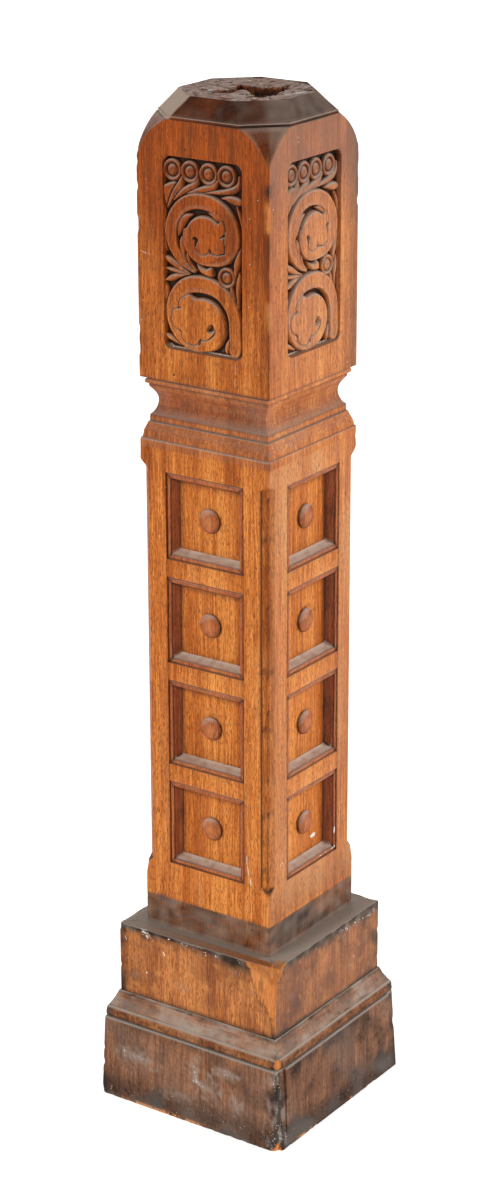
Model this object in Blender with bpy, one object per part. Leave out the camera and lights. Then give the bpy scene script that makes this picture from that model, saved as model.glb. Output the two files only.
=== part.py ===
# Carved and moulded newel post of Eastlake pattern, with a boarded plinth.
# Metres, +Z up, origin in the middle of the underside. The post has four like faces:
# front looks along -Y, side along +X, back along +Y and far along -X. Everything is
# modelled on the front face and turned a quarter, a half or three quarters about Z.

import math

import bmesh
import bpy
from mathutils import Matrix, Vector

FACES = ("front", "side", "back", "far")
HIDDEN_FACES = ("back", "far")
JOINT_GAP = 0.0003
MITRE_GAP = 0.0002

# The squared baulk: half widths and heights
SHAFT_HALF = 0.0862
HEAD_HALF = 0.0858
NECK_FOOT = 0.8090
HEAD_FOOT = 0.8780
HEAD_TOP = 1.1630
CAP_FOOT = 1.1660
CAP_TOP = 1.1870

# Stopped chamfers on the arrises of the shaft, measured along each face
CHAMFER_LEG = 0.0110
CHAMFER_FOOT = 0.3040
CHAMFER_TOP = 0.7755
CHAMFER_TOP_STOP = 0.0090
CHAMFER_LEDGE_DROP = 0.0060
CHAMFER_TAIL_LEG = 0.0047
CHAMFER_TAIL = 0.0230

# Neck moulding as (height, half width), from the ledge up to the quirk under the head
NECK_PROFILE = (
    (0.8091, 0.0846), (0.8130, 0.0843), (0.8180, 0.0829), (0.8225, 0.0810),
    (0.8264, 0.0797), (0.8272, 0.0783), (0.8345, 0.0780), (0.8372, 0.0755),
    (0.8410, 0.0733), (0.8455, 0.0717), (0.8505, 0.0711), (0.8555, 0.0717),
    (0.8600, 0.0737), (0.8640, 0.0765), (0.8665, 0.0784), (0.8700, 0.0786),
    (0.8704, 0.0808), (0.8716, 0.0817), (0.8742, 0.0817), (0.8752, 0.0810),
    (0.8756, 0.0795), (0.8779, 0.0795),
)

# Convex shoulders that cut the head's four corners down to the octagonal cap
SHOULDER_FOOT = 1.1090
SHOULDER_RUN = 0.0274
SHOULDER_STEPS = 6
FILLET_SET_BACK = 0.0012
LEDGE_RISE = 0.0001
CAP_SET_BACK = 0.0023
CAP_TOP_HALF = 0.0685
CAP_TOP_DIAGONAL = 0.0700

# Broken socket in the top, where the finial has gone
SOCKET_CENTRE = (0.0100, 0.0040)
SOCKET_RADIUS = 0.0310
SOCKET_STRETCH = 0.0100
SOCKET_LIE = 118
SOCKET_RAGGED = 0.0030
SOCKET_DEPTH = 0.0110
SOCKET_SIDES = 15
STUB_CENTRE = (0.0170, 0.0020)
STUB_RADIUS = 0.0125
STUB_RISE = 0.0080
SOCKET_TAPER = (0.80, 1.18)      # share of its size at its floor, and above the top
STUB_TAPER = 0.75
STUB_OVAL = 0.25
STUB_LIE = 1.0
STUB_RAGGED = 0.0015
STUB_SIDES = 7

# Coffers, as heights from the lowest to the highest, between rails of one height
COFFER_HALF = 0.0520
COFFER_DEPTH = 0.0120
COFFER_HEIGHTS = (0.1028, 0.1026, 0.1020, 0.1008)
RAIL_HEIGHT = 0.0208
QUIRK = 0.0012

# Moulding round a coffer as (distance in from its outer edge, depth under the face)
FRAME_PROFILE = (
    (0.0000, 0.0024), (0.0010, 0.0010), (0.0029, 0.0006),
    (0.0048, 0.0011), (0.0058, 0.0026), (0.0105, 0.0117),
)

# Turned buttons as (share of the radius, height over the coffer's floor)
BUTTON_RADIUS = 0.0140
BUTTON_PROFILE = ((1.0, 0.0017), (0.80, 0.0043), (0.42, 0.0062))
BUTTON_SHARP = 40.0
BUTTON_SIDES = 12

# Sunk panel for the carving
PANEL_HALF = 0.0510
PANEL_FOOT = 0.9150
PANEL_HEAD = 1.1250
PANEL_CORNER = 0.0100
PANEL_CORNER_STEPS = 3
PANEL_DEPTH = 0.0090
RELIEF_ROOT = 0.0012

# Row of roundels along the top of the panel
ROUNDEL_HEIGHT = 1.1100
ROUNDEL_RADIUS = 0.0118
ROUNDEL_PLACES = (-0.0395, -0.0150, 0.0075, 0.0330)
ROUNDEL_SIDES = 10
ROUNDEL_PROFILE = ((1.0, 0.0026), (0.64, 0.0048), (0.44, 0.0022))
ROSETTE_CENTRE = (0.0290, 1.0020)
ROSETTE_RADIUS = 0.0112

# Scrolls, each a band round a centre: turn in degrees, outer radius and band width
UPPER_CENTRE = (0.0000, 1.0425)
UPPER_TURN = (
    (252, 0.0420, 0.0030), (225, 0.0450, 0.0090), (180, 0.0495, 0.0150),
    (135, 0.0490, 0.0160), (90, 0.0462, 0.0170), (45, 0.0470, 0.0180),
    (0, 0.0470, 0.0200), (-35, 0.0405, 0.0170), (-65, 0.0330, 0.0135),
    (-90, 0.0305, 0.0120), (-140, 0.0282, 0.0100), (-190, 0.0262, 0.0060),
)
LOWER_CENTRE = (-0.0010, 0.9565)
LOWER_TURN = (
    (-38, 0.0600, 0.0150), (-18, 0.0515, 0.0155), (0, 0.0490, 0.0160),
    (45, 0.0452, 0.0170), (90, 0.0435, 0.0185), (135, 0.0470, 0.0180),
    (180, 0.0485, 0.0200), (225, 0.0455, 0.0180), (270, 0.0392, 0.0130),
    (315, 0.0352, 0.0120), (365, 0.0335, 0.0100), (410, 0.0285, 0.0050),
)
SCROLL_STEP = 22.5
SCROLL_EDGE = 0.0036
SLENDER = 0.0040                 # bands with less half width than this lie lower
SLENDER_SINK = 0.6
ROOT_STEP = 0.00004              # how far apart the roots of crossing pieces lie
ROOTS = 40
LAP = 0.0001                     # the same for their faces
SCROLL_CROWN = 0.0012

# Lobed leaf that ends each scroll: centre, radius, and where the lobes are, in degrees
UPPER_LEAF = ((0.0025, 1.0405), 0.0272, (-70, 70), 4)
LOWER_LEAF = ((-0.0045, 0.9490), 0.0318, (110, 300), 5)
LEAF_LOBE = 0.075
LEAF_SIDES = 24
LEAF_EDGE = 0.0042
LEAF_CROWN = 0.0018

# Stems and loose leaves as (across, height, half width) along each
STEMS = (
    ((-0.0270, 1.1080, 0.0012), (-0.0275, 1.0990, 0.0040), (-0.0350, 1.0880, 0.0060),
     (-0.0420, 1.0780, 0.0040), (-0.0465, 1.0660, 0.0012)),
    ((-0.0030, 1.1090, 0.0012), (-0.0055, 1.1010, 0.0030), (-0.0150, 1.0935, 0.0050),
     (-0.0260, 1.0865, 0.0034), (-0.0370, 1.0780, 0.0010)),
    ((0.0195, 1.1090, 0.0012), (0.0175, 1.1010, 0.0034), (0.0080, 1.0945, 0.0048),
     (-0.0060, 1.0915, 0.0032), (-0.0200, 1.0870, 0.0010)),
    ((0.0475, 1.1140, 0.0010), (0.0465, 1.1030, 0.0030), (0.0380, 1.0955, 0.0044),
     (0.0240, 1.0930, 0.0034), (0.0100, 1.0895, 0.0010)),
)
SMALL_LEAVES = (
    ((-0.0500, 1.0170, 0.0012), (-0.0390, 1.0110, 0.0042), (-0.0220, 1.0030, 0.0010)),
    ((-0.0500, 1.0030, 0.0012), (-0.0390, 1.0025, 0.0040), (-0.0200, 1.0010, 0.0010)),
    ((-0.0500, 0.9880, 0.0012), (-0.0380, 0.9935, 0.0044), (-0.0220, 0.9995, 0.0010)),
    ((-0.0130, 1.0640, 0.0012), (-0.0250, 1.0570, 0.0040), (-0.0300, 1.0430, 0.0010)),
    ((-0.0290, 1.0380, 0.0012), (-0.0240, 1.0250, 0.0040), (-0.0110, 1.0130, 0.0010)),
    ((-0.0070, 1.0140, 0.0012), (0.0010, 1.0070, 0.0042), (0.0130, 1.0080, 0.0010)),
    ((0.0330, 1.0880, 0.0012), (0.0410, 1.0870, 0.0050), (0.0490, 1.0840, 0.0012)),
    ((0.0470, 1.0420, 0.0010), (0.0440, 1.0280, 0.0044), (0.0400, 1.0120, 0.0010)),
    ((0.0480, 1.0140, 0.0010), (0.0440, 0.9990, 0.0040), (0.0430, 0.9740, 0.0010)),
)
LEAF_RIB_EDGE = 0.0052
LEAF_RIB_CROWN = 0.0026
STEM_STEPS = 6
SMALL_LEAF_STEPS = 3

# Plinth boards, base moulding and skirting
BOARD_HALF = 0.1092
BOARD_TOP = 0.2215
SKIRTING_TOP = 0.1020
SKIRTING_FOOT_HALF = 0.1266
SKIRTING_TOP_HALF = {"front": 0.1250, "side": 0.1250, "back": 0.1222, "far": 0.1215}
MOULD_PROFILE = (
    (0.0003, 0.1220), (0.0120, 0.1212), (0.0136, 0.1199), (0.0200, 0.1160),
    (0.0262, 0.1131), (0.0308, 0.1113), (0.0320, 0.1100),
)

# Splits and chips, each the plane through three points, with what is outside it gone
SPLIT_PLANES = (
    ((0.0644, -0.1092, 0.2215), (0.1092, -0.1092, 0.1370), (0.1092, -0.1048, 0.1960)),
    ((0.0650, -0.1092, 0.2215), (0.1092, -0.0880, 0.2215), (0.1092, -0.1050, 0.1960)),
)
MITRE_CHIP_DIAGONAL = 0.1685
CHIP_SPAN = 0.0100
SKIRTING_CHIP = ((0.1266, -0.1180, 0.0), (0.1170, -0.1266, 0.0), (0.1260, -0.1260, 0.0160))

# Oiled and varnished hardwood
COLOURS = {
    "post": (0.36, 0.13, 0.040),
    "trim": (0.24, 0.070, 0.030),
    "rail": (0.38, 0.145, 0.045),
    "board": (0.33, 0.125, 0.045),
    "skirting": (0.20, 0.090, 0.045),
}
ROUGHNESS = {"post": 0.42, "trim": 0.46, "rail": 0.42, "board": 0.50, "skirting": 0.62}


def clear_scene():
    for thing in list(bpy.data.objects):
        bpy.data.objects.remove(thing)


def new_object(name, bm, finish=None):
    """Makes an object of a bmesh, with its own material if it is a piece of the post."""
    bmesh.ops.recalc_face_normals(bm, faces=bm.faces)
    mesh = bpy.data.meshes.new(name)
    bm.to_mesh(mesh)
    bm.free()
    made = bpy.data.objects.new(name, mesh)
    bpy.context.scene.collection.objects.link(made)
    if finish is not None:
        material = bpy.data.materials.new(name)
        material.use_nodes = True
        shader = material.node_tree.nodes["Principled BSDF"]
        shader.inputs["Base Color"].default_value = (*COLOURS[finish], 1.0)
        shader.inputs["Roughness"].default_value = ROUGHNESS[finish]
        shader.inputs["Metallic"].default_value = 0.0
        mesh.materials.append(material)
    return made


def turn_to(bm, face, geometry=None):
    """Turns what was modelled on the front face to another face."""
    turn = Matrix.Rotation(math.radians(90 * FACES.index(face)), 3, "Z")
    bmesh.ops.rotate(bm, cent=(0, 0, 0), matrix=turn, verts=geometry or bm.verts)


def cutter(name, bm, target, operation, overlapping=False):
    """Hides a helper solid and cuts it from, or joins it to, the target."""
    tool = new_object(name, bm)
    tool.hide_render = True
    tool.display_type = "WIRE"
    change = target.modifiers.new(name, "BOOLEAN")
    change.object = tool
    change.operation = operation
    change.solver = "EXACT"
    change.use_self = overlapping


def stack_rings(bm, rings):
    """Skins equal rings of vertices, one over another, and caps both ends."""
    count = len(rings[0])
    for low, high in zip(rings, rings[1:]):
        for i in range(count):
            j = (i + 1) % count
            bm.faces.new((low[i], low[j], high[j], high[i]))
    bm.faces.new(list(reversed(rings[0])))
    bm.faces.new(rings[-1])


# The baulk

def section(bm, z, half, leg):
    """One square section with its corners cut by a leg: four corners of one or two points."""
    corners = []
    for k in range(4):
        turn = Matrix.Rotation(math.radians(90 * k), 3, "Z")
        points = [Vector((half, leg - half, z)), Vector((half - leg, -half, z))]
        if leg <= 0:
            made = bm.verts.new(turn @ points[0])
            corners.append((made, made))
        else:
            corners.append((bm.verts.new(turn @ points[1]), bm.verts.new(turn @ points[0])))
    return corners


def skin_sections(bm, sections):
    """Walls between sections: four sides, and a facet at each corner that is cut."""
    for low, high in zip(sections, sections[1:]):
        for k in range(4):
            n = (k + 1) % 4
            bm.faces.new((low[k][1], low[n][0], high[n][0], high[k][1]))
            facet = []
            for vertex in (low[k][0], low[k][1], high[k][1], high[k][0]):
                if vertex not in facet:
                    facet.append(vertex)
            if len(facet) > 2:
                bm.faces.new(facet)
    for end, order in ((sections[0], -1), (sections[-1], 1)):
        outline = []
        for corner in end:
            for vertex in corner:
                if vertex not in outline:
                    outline.append(vertex)
        bm.faces.new(outline[::order])


def leg_for(half, diagonal):
    """Corner leg of a square of that half width whose cut corners stand at diagonal."""
    return 2 * half - diagonal * math.sqrt(2)


def shoulder_sections():
    """Head sections over the foot of the shoulders, whose corners follow an arc."""
    rise = HEAD_TOP - SHOULDER_FOOT
    radius = (SHOULDER_RUN ** 2 + rise ** 2) / (2 * SHOULDER_RUN)
    arris = HEAD_HALF * math.sqrt(2)
    sweep = math.asin(rise / radius)
    made = []
    for i in range(1, SHOULDER_STEPS + 1):
        angle = sweep * i / SHOULDER_STEPS
        diagonal = arris - radius * (1 - math.cos(angle))
        height = SHOULDER_FOOT + radius * math.sin(angle)
        made.append((height, HEAD_HALF, leg_for(HEAD_HALF, diagonal)))
    return made


def post_sections():
    """Height, half width and corner leg of every section, from the floor to the top."""
    tail = CHAMFER_FOOT - CHAMFER_LEDGE_DROP
    made = [
        (0.0, SHAFT_HALF, 0.0),
        (tail - CHAMFER_TAIL, SHAFT_HALF, 0.0),
        (tail, SHAFT_HALF, CHAMFER_TAIL_LEG),
        (CHAMFER_FOOT, SHAFT_HALF, CHAMFER_LEG),
        (CHAMFER_TOP, SHAFT_HALF, CHAMFER_LEG),
        (CHAMFER_TOP + CHAMFER_TOP_STOP, SHAFT_HALF, 0.0),
        (NECK_FOOT, SHAFT_HALF, 0.0),
    ]
    made += [(z, half, 0.0) for z, half in NECK_PROFILE]
    made += [(HEAD_FOOT, HEAD_HALF, 0.0), (SHOULDER_FOOT, HEAD_HALF, 0.0)]
    made += shoulder_sections()
    top_leg = made[-1][2]
    top_diagonal = (2 * HEAD_HALF - top_leg) / math.sqrt(2)
    fillet = HEAD_HALF - FILLET_SET_BACK
    fillet_leg = leg_for(fillet, top_diagonal - FILLET_SET_BACK)
    cap = HEAD_HALF - CAP_SET_BACK
    cap_leg = leg_for(cap, top_diagonal - CAP_SET_BACK)
    made += [
        (HEAD_TOP + LEDGE_RISE, fillet, fillet_leg),
        (CAP_FOOT, fillet, fillet_leg),
        (CAP_FOOT + LEDGE_RISE, cap, cap_leg),
        (CAP_TOP, CAP_TOP_HALF, leg_for(CAP_TOP_HALF, CAP_TOP_DIAGONAL)),
    ]
    return made


def rounded_outline(half, foot, head, radius, steps):
    """Corner points of an upright rectangle with round corners, as (across, height)."""
    points = []
    centres = ((half - radius, foot + radius), (half - radius, head - radius),
               (radius - half, head - radius), (radius - half, foot + radius))
    for k, (u, z) in enumerate(centres):
        for i in range(steps + 1):
            angle = math.radians(-90 + 90 * k + 90 * i / steps)
            points.append((u + radius * math.cos(angle), z + radius * math.sin(angle)))
    return points


def sink_panels(post):
    """Cuts the sunk panel for the carving in each face of the head."""
    bm = bmesh.new()
    outline = rounded_outline(PANEL_HALF, PANEL_FOOT, PANEL_HEAD, PANEL_CORNER, PANEL_CORNER_STEPS)
    for face in FACES:
        rings = []
        for y in (-HEAD_HALF + PANEL_DEPTH, -HEAD_HALF - PANEL_DEPTH):
            rings.append([bm.verts.new((u, y, z)) for u, z in outline])
        stack_rings(bm, rings)
        turn_to(bm, face, rings[0] + rings[1])
    cutter("cut_panels", bm, post, "DIFFERENCE")


def cut_channels(post):
    """Cuts the long sunk channel that holds the rails and frames in each face of the shaft."""
    bm = bmesh.new()
    head = CHAMFER_FOOT + sum(COFFER_HEIGHTS) + RAIL_HEIGHT * (len(COFFER_HEIGHTS) - 1)
    outline = ((-COFFER_HALF, CHAMFER_FOOT), (COFFER_HALF, CHAMFER_FOOT),
               (COFFER_HALF, head), (-COFFER_HALF, head))
    for face in FACES:
        rings = []
        for y in (-SHAFT_HALF + COFFER_DEPTH, -SHAFT_HALF - COFFER_DEPTH):
            rings.append([bm.verts.new((u, y, z)) for u, z in outline])
        stack_rings(bm, rings)
        turn_to(bm, face, rings[0] + rings[1])
    cutter("cut_channels", bm, post, "DIFFERENCE")


def break_top(post):
    """Breaks a ragged socket in the top, round the stub that is left of the finial."""
    bm = bmesh.new()
    rings = []
    for z, share in ((CAP_TOP - SOCKET_DEPTH, SOCKET_TAPER[0]),
                     (CAP_TOP + SOCKET_DEPTH, SOCKET_TAPER[1])):
        ring = []
        for i in range(SOCKET_SIDES):
            angle = math.tau * i / SOCKET_SIDES
            stretch = SOCKET_STRETCH * math.cos(2 * (angle - math.radians(SOCKET_LIE)))
            radius = (SOCKET_RADIUS + stretch + SOCKET_RAGGED * math.sin(5 * angle)) * share
            ring.append(bm.verts.new((SOCKET_CENTRE[0] + radius * math.cos(angle),
                                      SOCKET_CENTRE[1] + radius * math.sin(angle), z)))
        rings.append(ring)
    stack_rings(bm, rings)
    cutter("cut_socket", bm, post, "DIFFERENCE")
    bm = bmesh.new()
    rings = []
    floor = CAP_TOP - SOCKET_DEPTH
    for z, share in ((floor - RELIEF_ROOT, 1.0), (floor + STUB_RISE, STUB_TAPER)):
        ring = []
        for i in range(STUB_SIDES):
            angle = math.tau * i / STUB_SIDES
            radius = STUB_RADIUS * share * (1 + STUB_OVAL * math.sin(2 * angle + STUB_LIE))
            lift = STUB_RAGGED * math.sin(3 * angle) if share < 1 else 0.0
            ring.append(bm.verts.new((STUB_CENTRE[0] + radius * math.cos(angle),
                                      STUB_CENTRE[1] + radius * math.sin(angle), z + lift)))
        rings.append(ring)
    stack_rings(bm, rings)
    cutter("join_stub", bm, post, "UNION")


# The carving, modelled on the front face of the head

def depth_to_y(depth):
    return -HEAD_HALF + depth


def smooth_value(knots, at):
    """Catmull-Rom value at a place on a list of (place, value, ...) rows, as a tuple."""
    places = [k[0] for k in knots]
    step = 0
    while step < len(places) - 2 and at > places[step + 1]:
        step += 1
    before, after = knots[max(step - 1, 0)], knots[min(step + 2, len(knots) - 1)]
    low, high = knots[step], knots[step + 1]
    t = (at - low[0]) / (high[0] - low[0])
    values = []
    for a, b, c, d in zip(before[1:], low[1:], high[1:], after[1:]):
        values.append(0.5 * (2 * b + (c - a) * t + (2 * a - 5 * b + 4 * c - d) * t ** 2
                             + (3 * b - 3 * c + d - a) * t ** 3))
    return tuple(values)


def ribbon(bm, line, edge, crown, root):
    """A carved band along (across, height, half width) points, ridged along its middle."""
    rings = []
    for i, (u, z, half) in enumerate(line):
        before, after = line[max(i - 1, 0)], line[min(i + 1, len(line) - 1)]
        along = Vector((after[0] - before[0], after[1] - before[1])).normalized()
        out = Vector((along.y, -along.x))
        sink = (edge - crown) * (1 - min(half / SLENDER, 1.0)) * SLENDER_SINK
        ring = []
        for share, depth in ((-1, root), (-1, edge + sink), (0, crown + sink),
                             (1, edge + sink), (1, root)):
            ring.append(bm.verts.new((u + out.x * half * share, depth_to_y(depth),
                                      z + out.y * half * share)))
        rings.append(ring)
    stack_rings(bm, rings)


def scroll_line(centre, turn):
    """Middle line of a scroll, from its (degrees, outer radius, width) rows."""
    rising = turn[-1][0] > turn[0][0]
    rows = [(row[0] if rising else -row[0], row[1], row[2]) for row in turn]
    steps = max(int(round((rows[-1][0] - rows[0][0]) / SCROLL_STEP)), 1)
    line = []
    for i in range(steps + 1):
        at = rows[0][0] + (rows[-1][0] - rows[0][0]) * i / steps
        radius, width = smooth_value(rows, at)
        angle = math.radians(at if rising else -at)
        middle = radius - width / 2
        line.append((centre[0] + middle * math.cos(angle),
                     centre[1] + middle * math.sin(angle), width / 2))
    return line


def stem_line(points, steps):
    """A smooth line of a few points through a stem's or leaf's own points."""
    rows = [(i, *point) for i, point in enumerate(points)]
    return [smooth_value(rows, (len(points) - 1) * i / steps) for i in range(steps + 1)]


def round_boss(bm, centre, radius, profile, sides, root):
    """A carved disc whose rings are (share of the radius, depth under the face)."""
    rings = []
    for share, depth in ((1.0, root), *profile):
        ring = []
        for i in range(sides):
            angle = math.tau * (i + 0.5) / sides
            ring.append(bm.verts.new((centre[0] + radius * share * math.cos(angle),
                                      depth_to_y(depth),
                                      centre[1] + radius * share * math.sin(angle))))
        rings.append(ring)
    stack_rings(bm, rings)


def lobed_leaf(bm, leaf, root):
    """The leaf that ends a scroll, lobed along one stretch of its edge."""
    centre, radius, (start, end), lobes = leaf
    rings = []
    for share, depth in ((1.0, root), (1.0, LEAF_EDGE), (0.80, LEAF_CROWN)):
        ring = []
        for i in range(LEAF_SIDES):
            angle = math.degrees(math.tau * i / LEAF_SIDES)
            place = (angle - start) % 360 / (end - start)
            wave = math.cos(math.tau * lobes * place) - 1 if place <= 1 else 0.0
            reach = radius * share * (1 + LEAF_LOBE * wave)
            ring.append(bm.verts.new((centre[0] + reach * math.cos(math.radians(angle)),
                                      depth_to_y(depth),
                                      centre[1] + reach * math.sin(math.radians(angle)))))
        rings.append(ring)
    stack_rings(bm, rings)


def carve_relief(post, face):
    """Raises the carving of one face. The two faces away from view leave out the small leaves."""
    bm = bmesh.new()
    roots = iter(PANEL_DEPTH + RELIEF_ROOT + ROOT_STEP * i for i in range(ROOTS))
    ribbon(bm, scroll_line(UPPER_CENTRE, UPPER_TURN), SCROLL_EDGE, SCROLL_CROWN, next(roots))
    ribbon(bm, scroll_line(LOWER_CENTRE, LOWER_TURN), SCROLL_EDGE + 2 * LAP,
           SCROLL_CROWN + LAP, next(roots))
    lobed_leaf(bm, UPPER_LEAF, next(roots))
    lobed_leaf(bm, LOWER_LEAF, next(roots))
    for i, stem in enumerate(STEMS):
        ribbon(bm, stem_line(stem, STEM_STEPS), LEAF_RIB_EDGE - LAP * i,
               LEAF_RIB_CROWN - LAP * i, next(roots))
    for i, place in enumerate(ROUNDEL_PLACES):
        round_boss(bm, (place, ROUNDEL_HEIGHT), ROUNDEL_RADIUS, ROUNDEL_PROFILE,
                   ROUNDEL_SIDES, next(roots))
    if face not in HIDDEN_FACES:
        round_boss(bm, ROSETTE_CENTRE, ROSETTE_RADIUS, ROUNDEL_PROFILE, ROUNDEL_SIDES, next(roots))
        for i, leaf in enumerate(SMALL_LEAVES):
            ribbon(bm, stem_line(leaf, SMALL_LEAF_STEPS), LEAF_RIB_EDGE + LAP * i,
                   LEAF_RIB_CROWN + LAP * i, next(roots))
    turn_to(bm, face)
    cutter("relief_" + face, bm, post, "UNION", overlapping=True)


def make_post():
    bm = bmesh.new()
    skin_sections(bm, [section(bm, *row) for row in post_sections()])
    post = new_object("post", bm, "post")
    cut_channels(post)
    sink_panels(post)
    break_top(post)
    for face in FACES:
        carve_relief(post, face)


# Rails, frames and buttons of the coffers

def coffer_feet():
    """Height of the foot of each coffer, from the lowest up."""
    feet, z = [], CHAMFER_FOOT
    for height in COFFER_HEIGHTS:
        feet.append(z)
        z += height + RAIL_HEIGHT
    return feet


def box(bm, low, high):
    bmesh.ops.create_cube(bm, size=1.0)
    size = [b - a for a, b in zip(low, high)]
    middle = [(a + b) / 2 for a, b in zip(low, high)]
    bmesh.ops.scale(bm, vec=size, verts=bm.verts)
    bmesh.ops.translate(bm, vec=middle, verts=bm.verts)


def make_rails(face):
    floor = -SHAFT_HALF + COFFER_DEPTH - JOINT_GAP
    half = COFFER_HALF - JOINT_GAP
    for i, foot in enumerate(coffer_feet()[1:], start=1):
        bm = bmesh.new()
        box(bm, (-half, -SHAFT_HALF, foot - RAIL_HEIGHT), (half, floor, foot))
        turn_to(bm, face)
        new_object(f"rail_{face}_{i}", bm, "rail")


def make_frame(face, number, foot, height):
    """Four mitred lengths of the coffer moulding, glued in one."""
    bm = bmesh.new()
    floor = COFFER_DEPTH - JOINT_GAP
    profile = ((0.0, floor), *FRAME_PROFILE[:-1], (FRAME_PROFILE[-1][0], floor))
    loops = []
    for inset, depth in profile:
        across = COFFER_HALF - QUIRK - inset
        low, high = foot + QUIRK + inset, foot + height - QUIRK - inset
        corners = ((-across, low), (across, low), (across, high), (-across, high))
        loops.append([bm.verts.new((u, -SHAFT_HALF + depth, z)) for u, z in corners])
    for a, b in zip(loops, loops[1:] + loops[:1]):
        for i in range(4):
            j = (i + 1) % 4
            bm.faces.new((a[i], a[j], b[j], b[i]))
    turn_to(bm, face)
    new_object(f"coffer_frame_{face}_{number}", bm, "trim")


def make_button(face, number, middle):
    bm = bmesh.new()
    rings = []
    floor = -SHAFT_HALF + COFFER_DEPTH
    for share, rise in ((1.0, JOINT_GAP), *BUTTON_PROFILE):
        ring = []
        for i in range(BUTTON_SIDES):
            angle = math.tau * i / BUTTON_SIDES
            ring.append(bm.verts.new((BUTTON_RADIUS * share * math.cos(angle), floor - rise,
                                      middle + BUTTON_RADIUS * share * math.sin(angle))))
        rings.append(ring)
    stack_rings(bm, rings)
    turn_to(bm, face)
    button = new_object(f"coffer_button_{face}_{number}", bm, "trim")
    button.data.shade_smooth()
    button.data.set_sharp_from_angle(angle=math.radians(BUTTON_SHARP))


def make_coffers(face):
    make_rails(face)
    for i, (foot, height) in enumerate(zip(coffer_feet(), COFFER_HEIGHTS), start=1):
        make_frame(face, i, foot, height)
        make_button(face, i, foot + height / 2)


# The plinth

def mitred_length(bm, profile):
    """A length on the front face, of (half width, height) points, mitred at both ends."""
    rings = []
    for side in (-1, 1):
        rings.append([bm.verts.new((side * (half - MITRE_GAP), -half, z)) for half, z in profile])
    stack_rings(bm, rings)


def cut_off(bm, low, middle, high):
    """Takes off what lies outside the plane through three points, and closes the cut."""
    a, b, c = Vector(low), Vector(middle), Vector(high)
    normal = (b - a).cross(c - a).normalized()
    if normal.dot(a - Vector((0, 0, a.z))) < 0:
        normal.negate()
    geometry = list(bm.verts) + list(bm.edges) + list(bm.faces)
    cut = bmesh.ops.bisect_plane(bm, geom=geometry, plane_co=a, plane_no=normal, clear_outer=True)
    edges = [e for e in cut["geom_cut"] if isinstance(e, bmesh.types.BMEdge)]
    if edges:
        bmesh.ops.contextual_create(bm, geom=edges)


def make_plinth_board(face):
    bm = bmesh.new()
    back = SHAFT_HALF + JOINT_GAP
    mitred_length(bm, ((back, 0.0), (BOARD_HALF, 0.0), (BOARD_HALF, BOARD_TOP), (back, BOARD_TOP)))
    turn_to(bm, face)
    if face in ("front", "side"):
        for plane in SPLIT_PLANES:
            cut_off(bm, *plane)
    new_object("plinth_board_" + face, bm, "board")


def make_mould(face):
    bm = bmesh.new()
    back = BOARD_HALF + JOINT_GAP
    profile = [(back, SKIRTING_TOP + MOULD_PROFILE[0][0])]
    profile += [(half, SKIRTING_TOP + rise) for rise, half in MOULD_PROFILE]
    profile.append((back, SKIRTING_TOP + MOULD_PROFILE[-1][0]))
    mitred_length(bm, profile)
    turn_to(bm, face)
    if face in ("front", "side"):
        reach = MITRE_CHIP_DIAGONAL / math.sqrt(2)
        cut_off(bm, (reach, -reach, SKIRTING_TOP),
                (reach + CHIP_SPAN, CHIP_SPAN - reach, SKIRTING_TOP),
                (reach, -reach, BOARD_TOP))
    new_object("plinth_mould_" + face, bm, "board")


def make_skirting():
    """Front and back boards run through, and the side boards fit between them."""
    back = BOARD_HALF + JOINT_GAP
    for face in FACES:
        bm = bmesh.new()
        turned = FACES.index(face)
        left, right = FACES[turned - 1], FACES[(turned + 1) % 4]
        through = face in ("front", "back")
        foot_out, top_out = SKIRTING_FOOT_HALF, SKIRTING_TOP_HALF[face]
        rings = []
        for side, end in ((-1, left), (1, right)):
            foot_end = SKIRTING_FOOT_HALF if through else back - JOINT_GAP
            top_end = SKIRTING_TOP_HALF[end] if through else back - JOINT_GAP
            rings.append([
                bm.verts.new((side * foot_end, -back, 0.0)),
                bm.verts.new((side * foot_end, -foot_out, 0.0)),
                bm.verts.new((side * top_end, -top_out, SKIRTING_TOP)),
                bm.verts.new((side * top_end, -back, SKIRTING_TOP)),
            ])
        stack_rings(bm, rings)
        turn_to(bm, face)
        if face == "front":
            cut_off(bm, *SKIRTING_CHIP)
        new_object("skirting_board_" + face, bm, "skirting")


def main():
    clear_scene()
    make_post()
    for face in FACES:
        make_coffers(face)
        make_plinth_board(face)
        make_mould(face)
    make_skirting()


main()
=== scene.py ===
import math

import bmesh
import bpy
import numpy as np
from mathutils import Matrix, Vector, noise


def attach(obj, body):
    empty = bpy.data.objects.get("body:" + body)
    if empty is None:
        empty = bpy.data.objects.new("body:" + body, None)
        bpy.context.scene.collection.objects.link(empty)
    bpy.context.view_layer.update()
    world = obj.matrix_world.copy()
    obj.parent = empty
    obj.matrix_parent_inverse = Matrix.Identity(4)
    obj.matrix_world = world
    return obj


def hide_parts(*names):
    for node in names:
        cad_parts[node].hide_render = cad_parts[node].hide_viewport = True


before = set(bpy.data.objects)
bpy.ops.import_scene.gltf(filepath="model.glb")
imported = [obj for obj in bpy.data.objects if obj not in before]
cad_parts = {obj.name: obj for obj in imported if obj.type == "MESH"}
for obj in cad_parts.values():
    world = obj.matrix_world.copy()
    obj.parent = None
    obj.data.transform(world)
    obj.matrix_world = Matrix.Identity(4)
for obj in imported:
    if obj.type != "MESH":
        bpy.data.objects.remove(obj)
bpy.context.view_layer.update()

faces = ("front", "side", "back", "far")   # front looks along -Y, side +X, back +Y, far -X
# what a piece's vertices say to its finish: grime and painted shade, dust and painted sheen, wear and
# painted sheen, fresh wood, tone with painted light and shade by face, and paint
coats = ("grime", "dust", "worn", "fresh", "tone", "paint")


# Small helpers

def softStep(low, high, value):
    share = min(max((value - low) / (high - low), 0.0), 1.0)
    return share * share * (3 - 2 * share)


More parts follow.
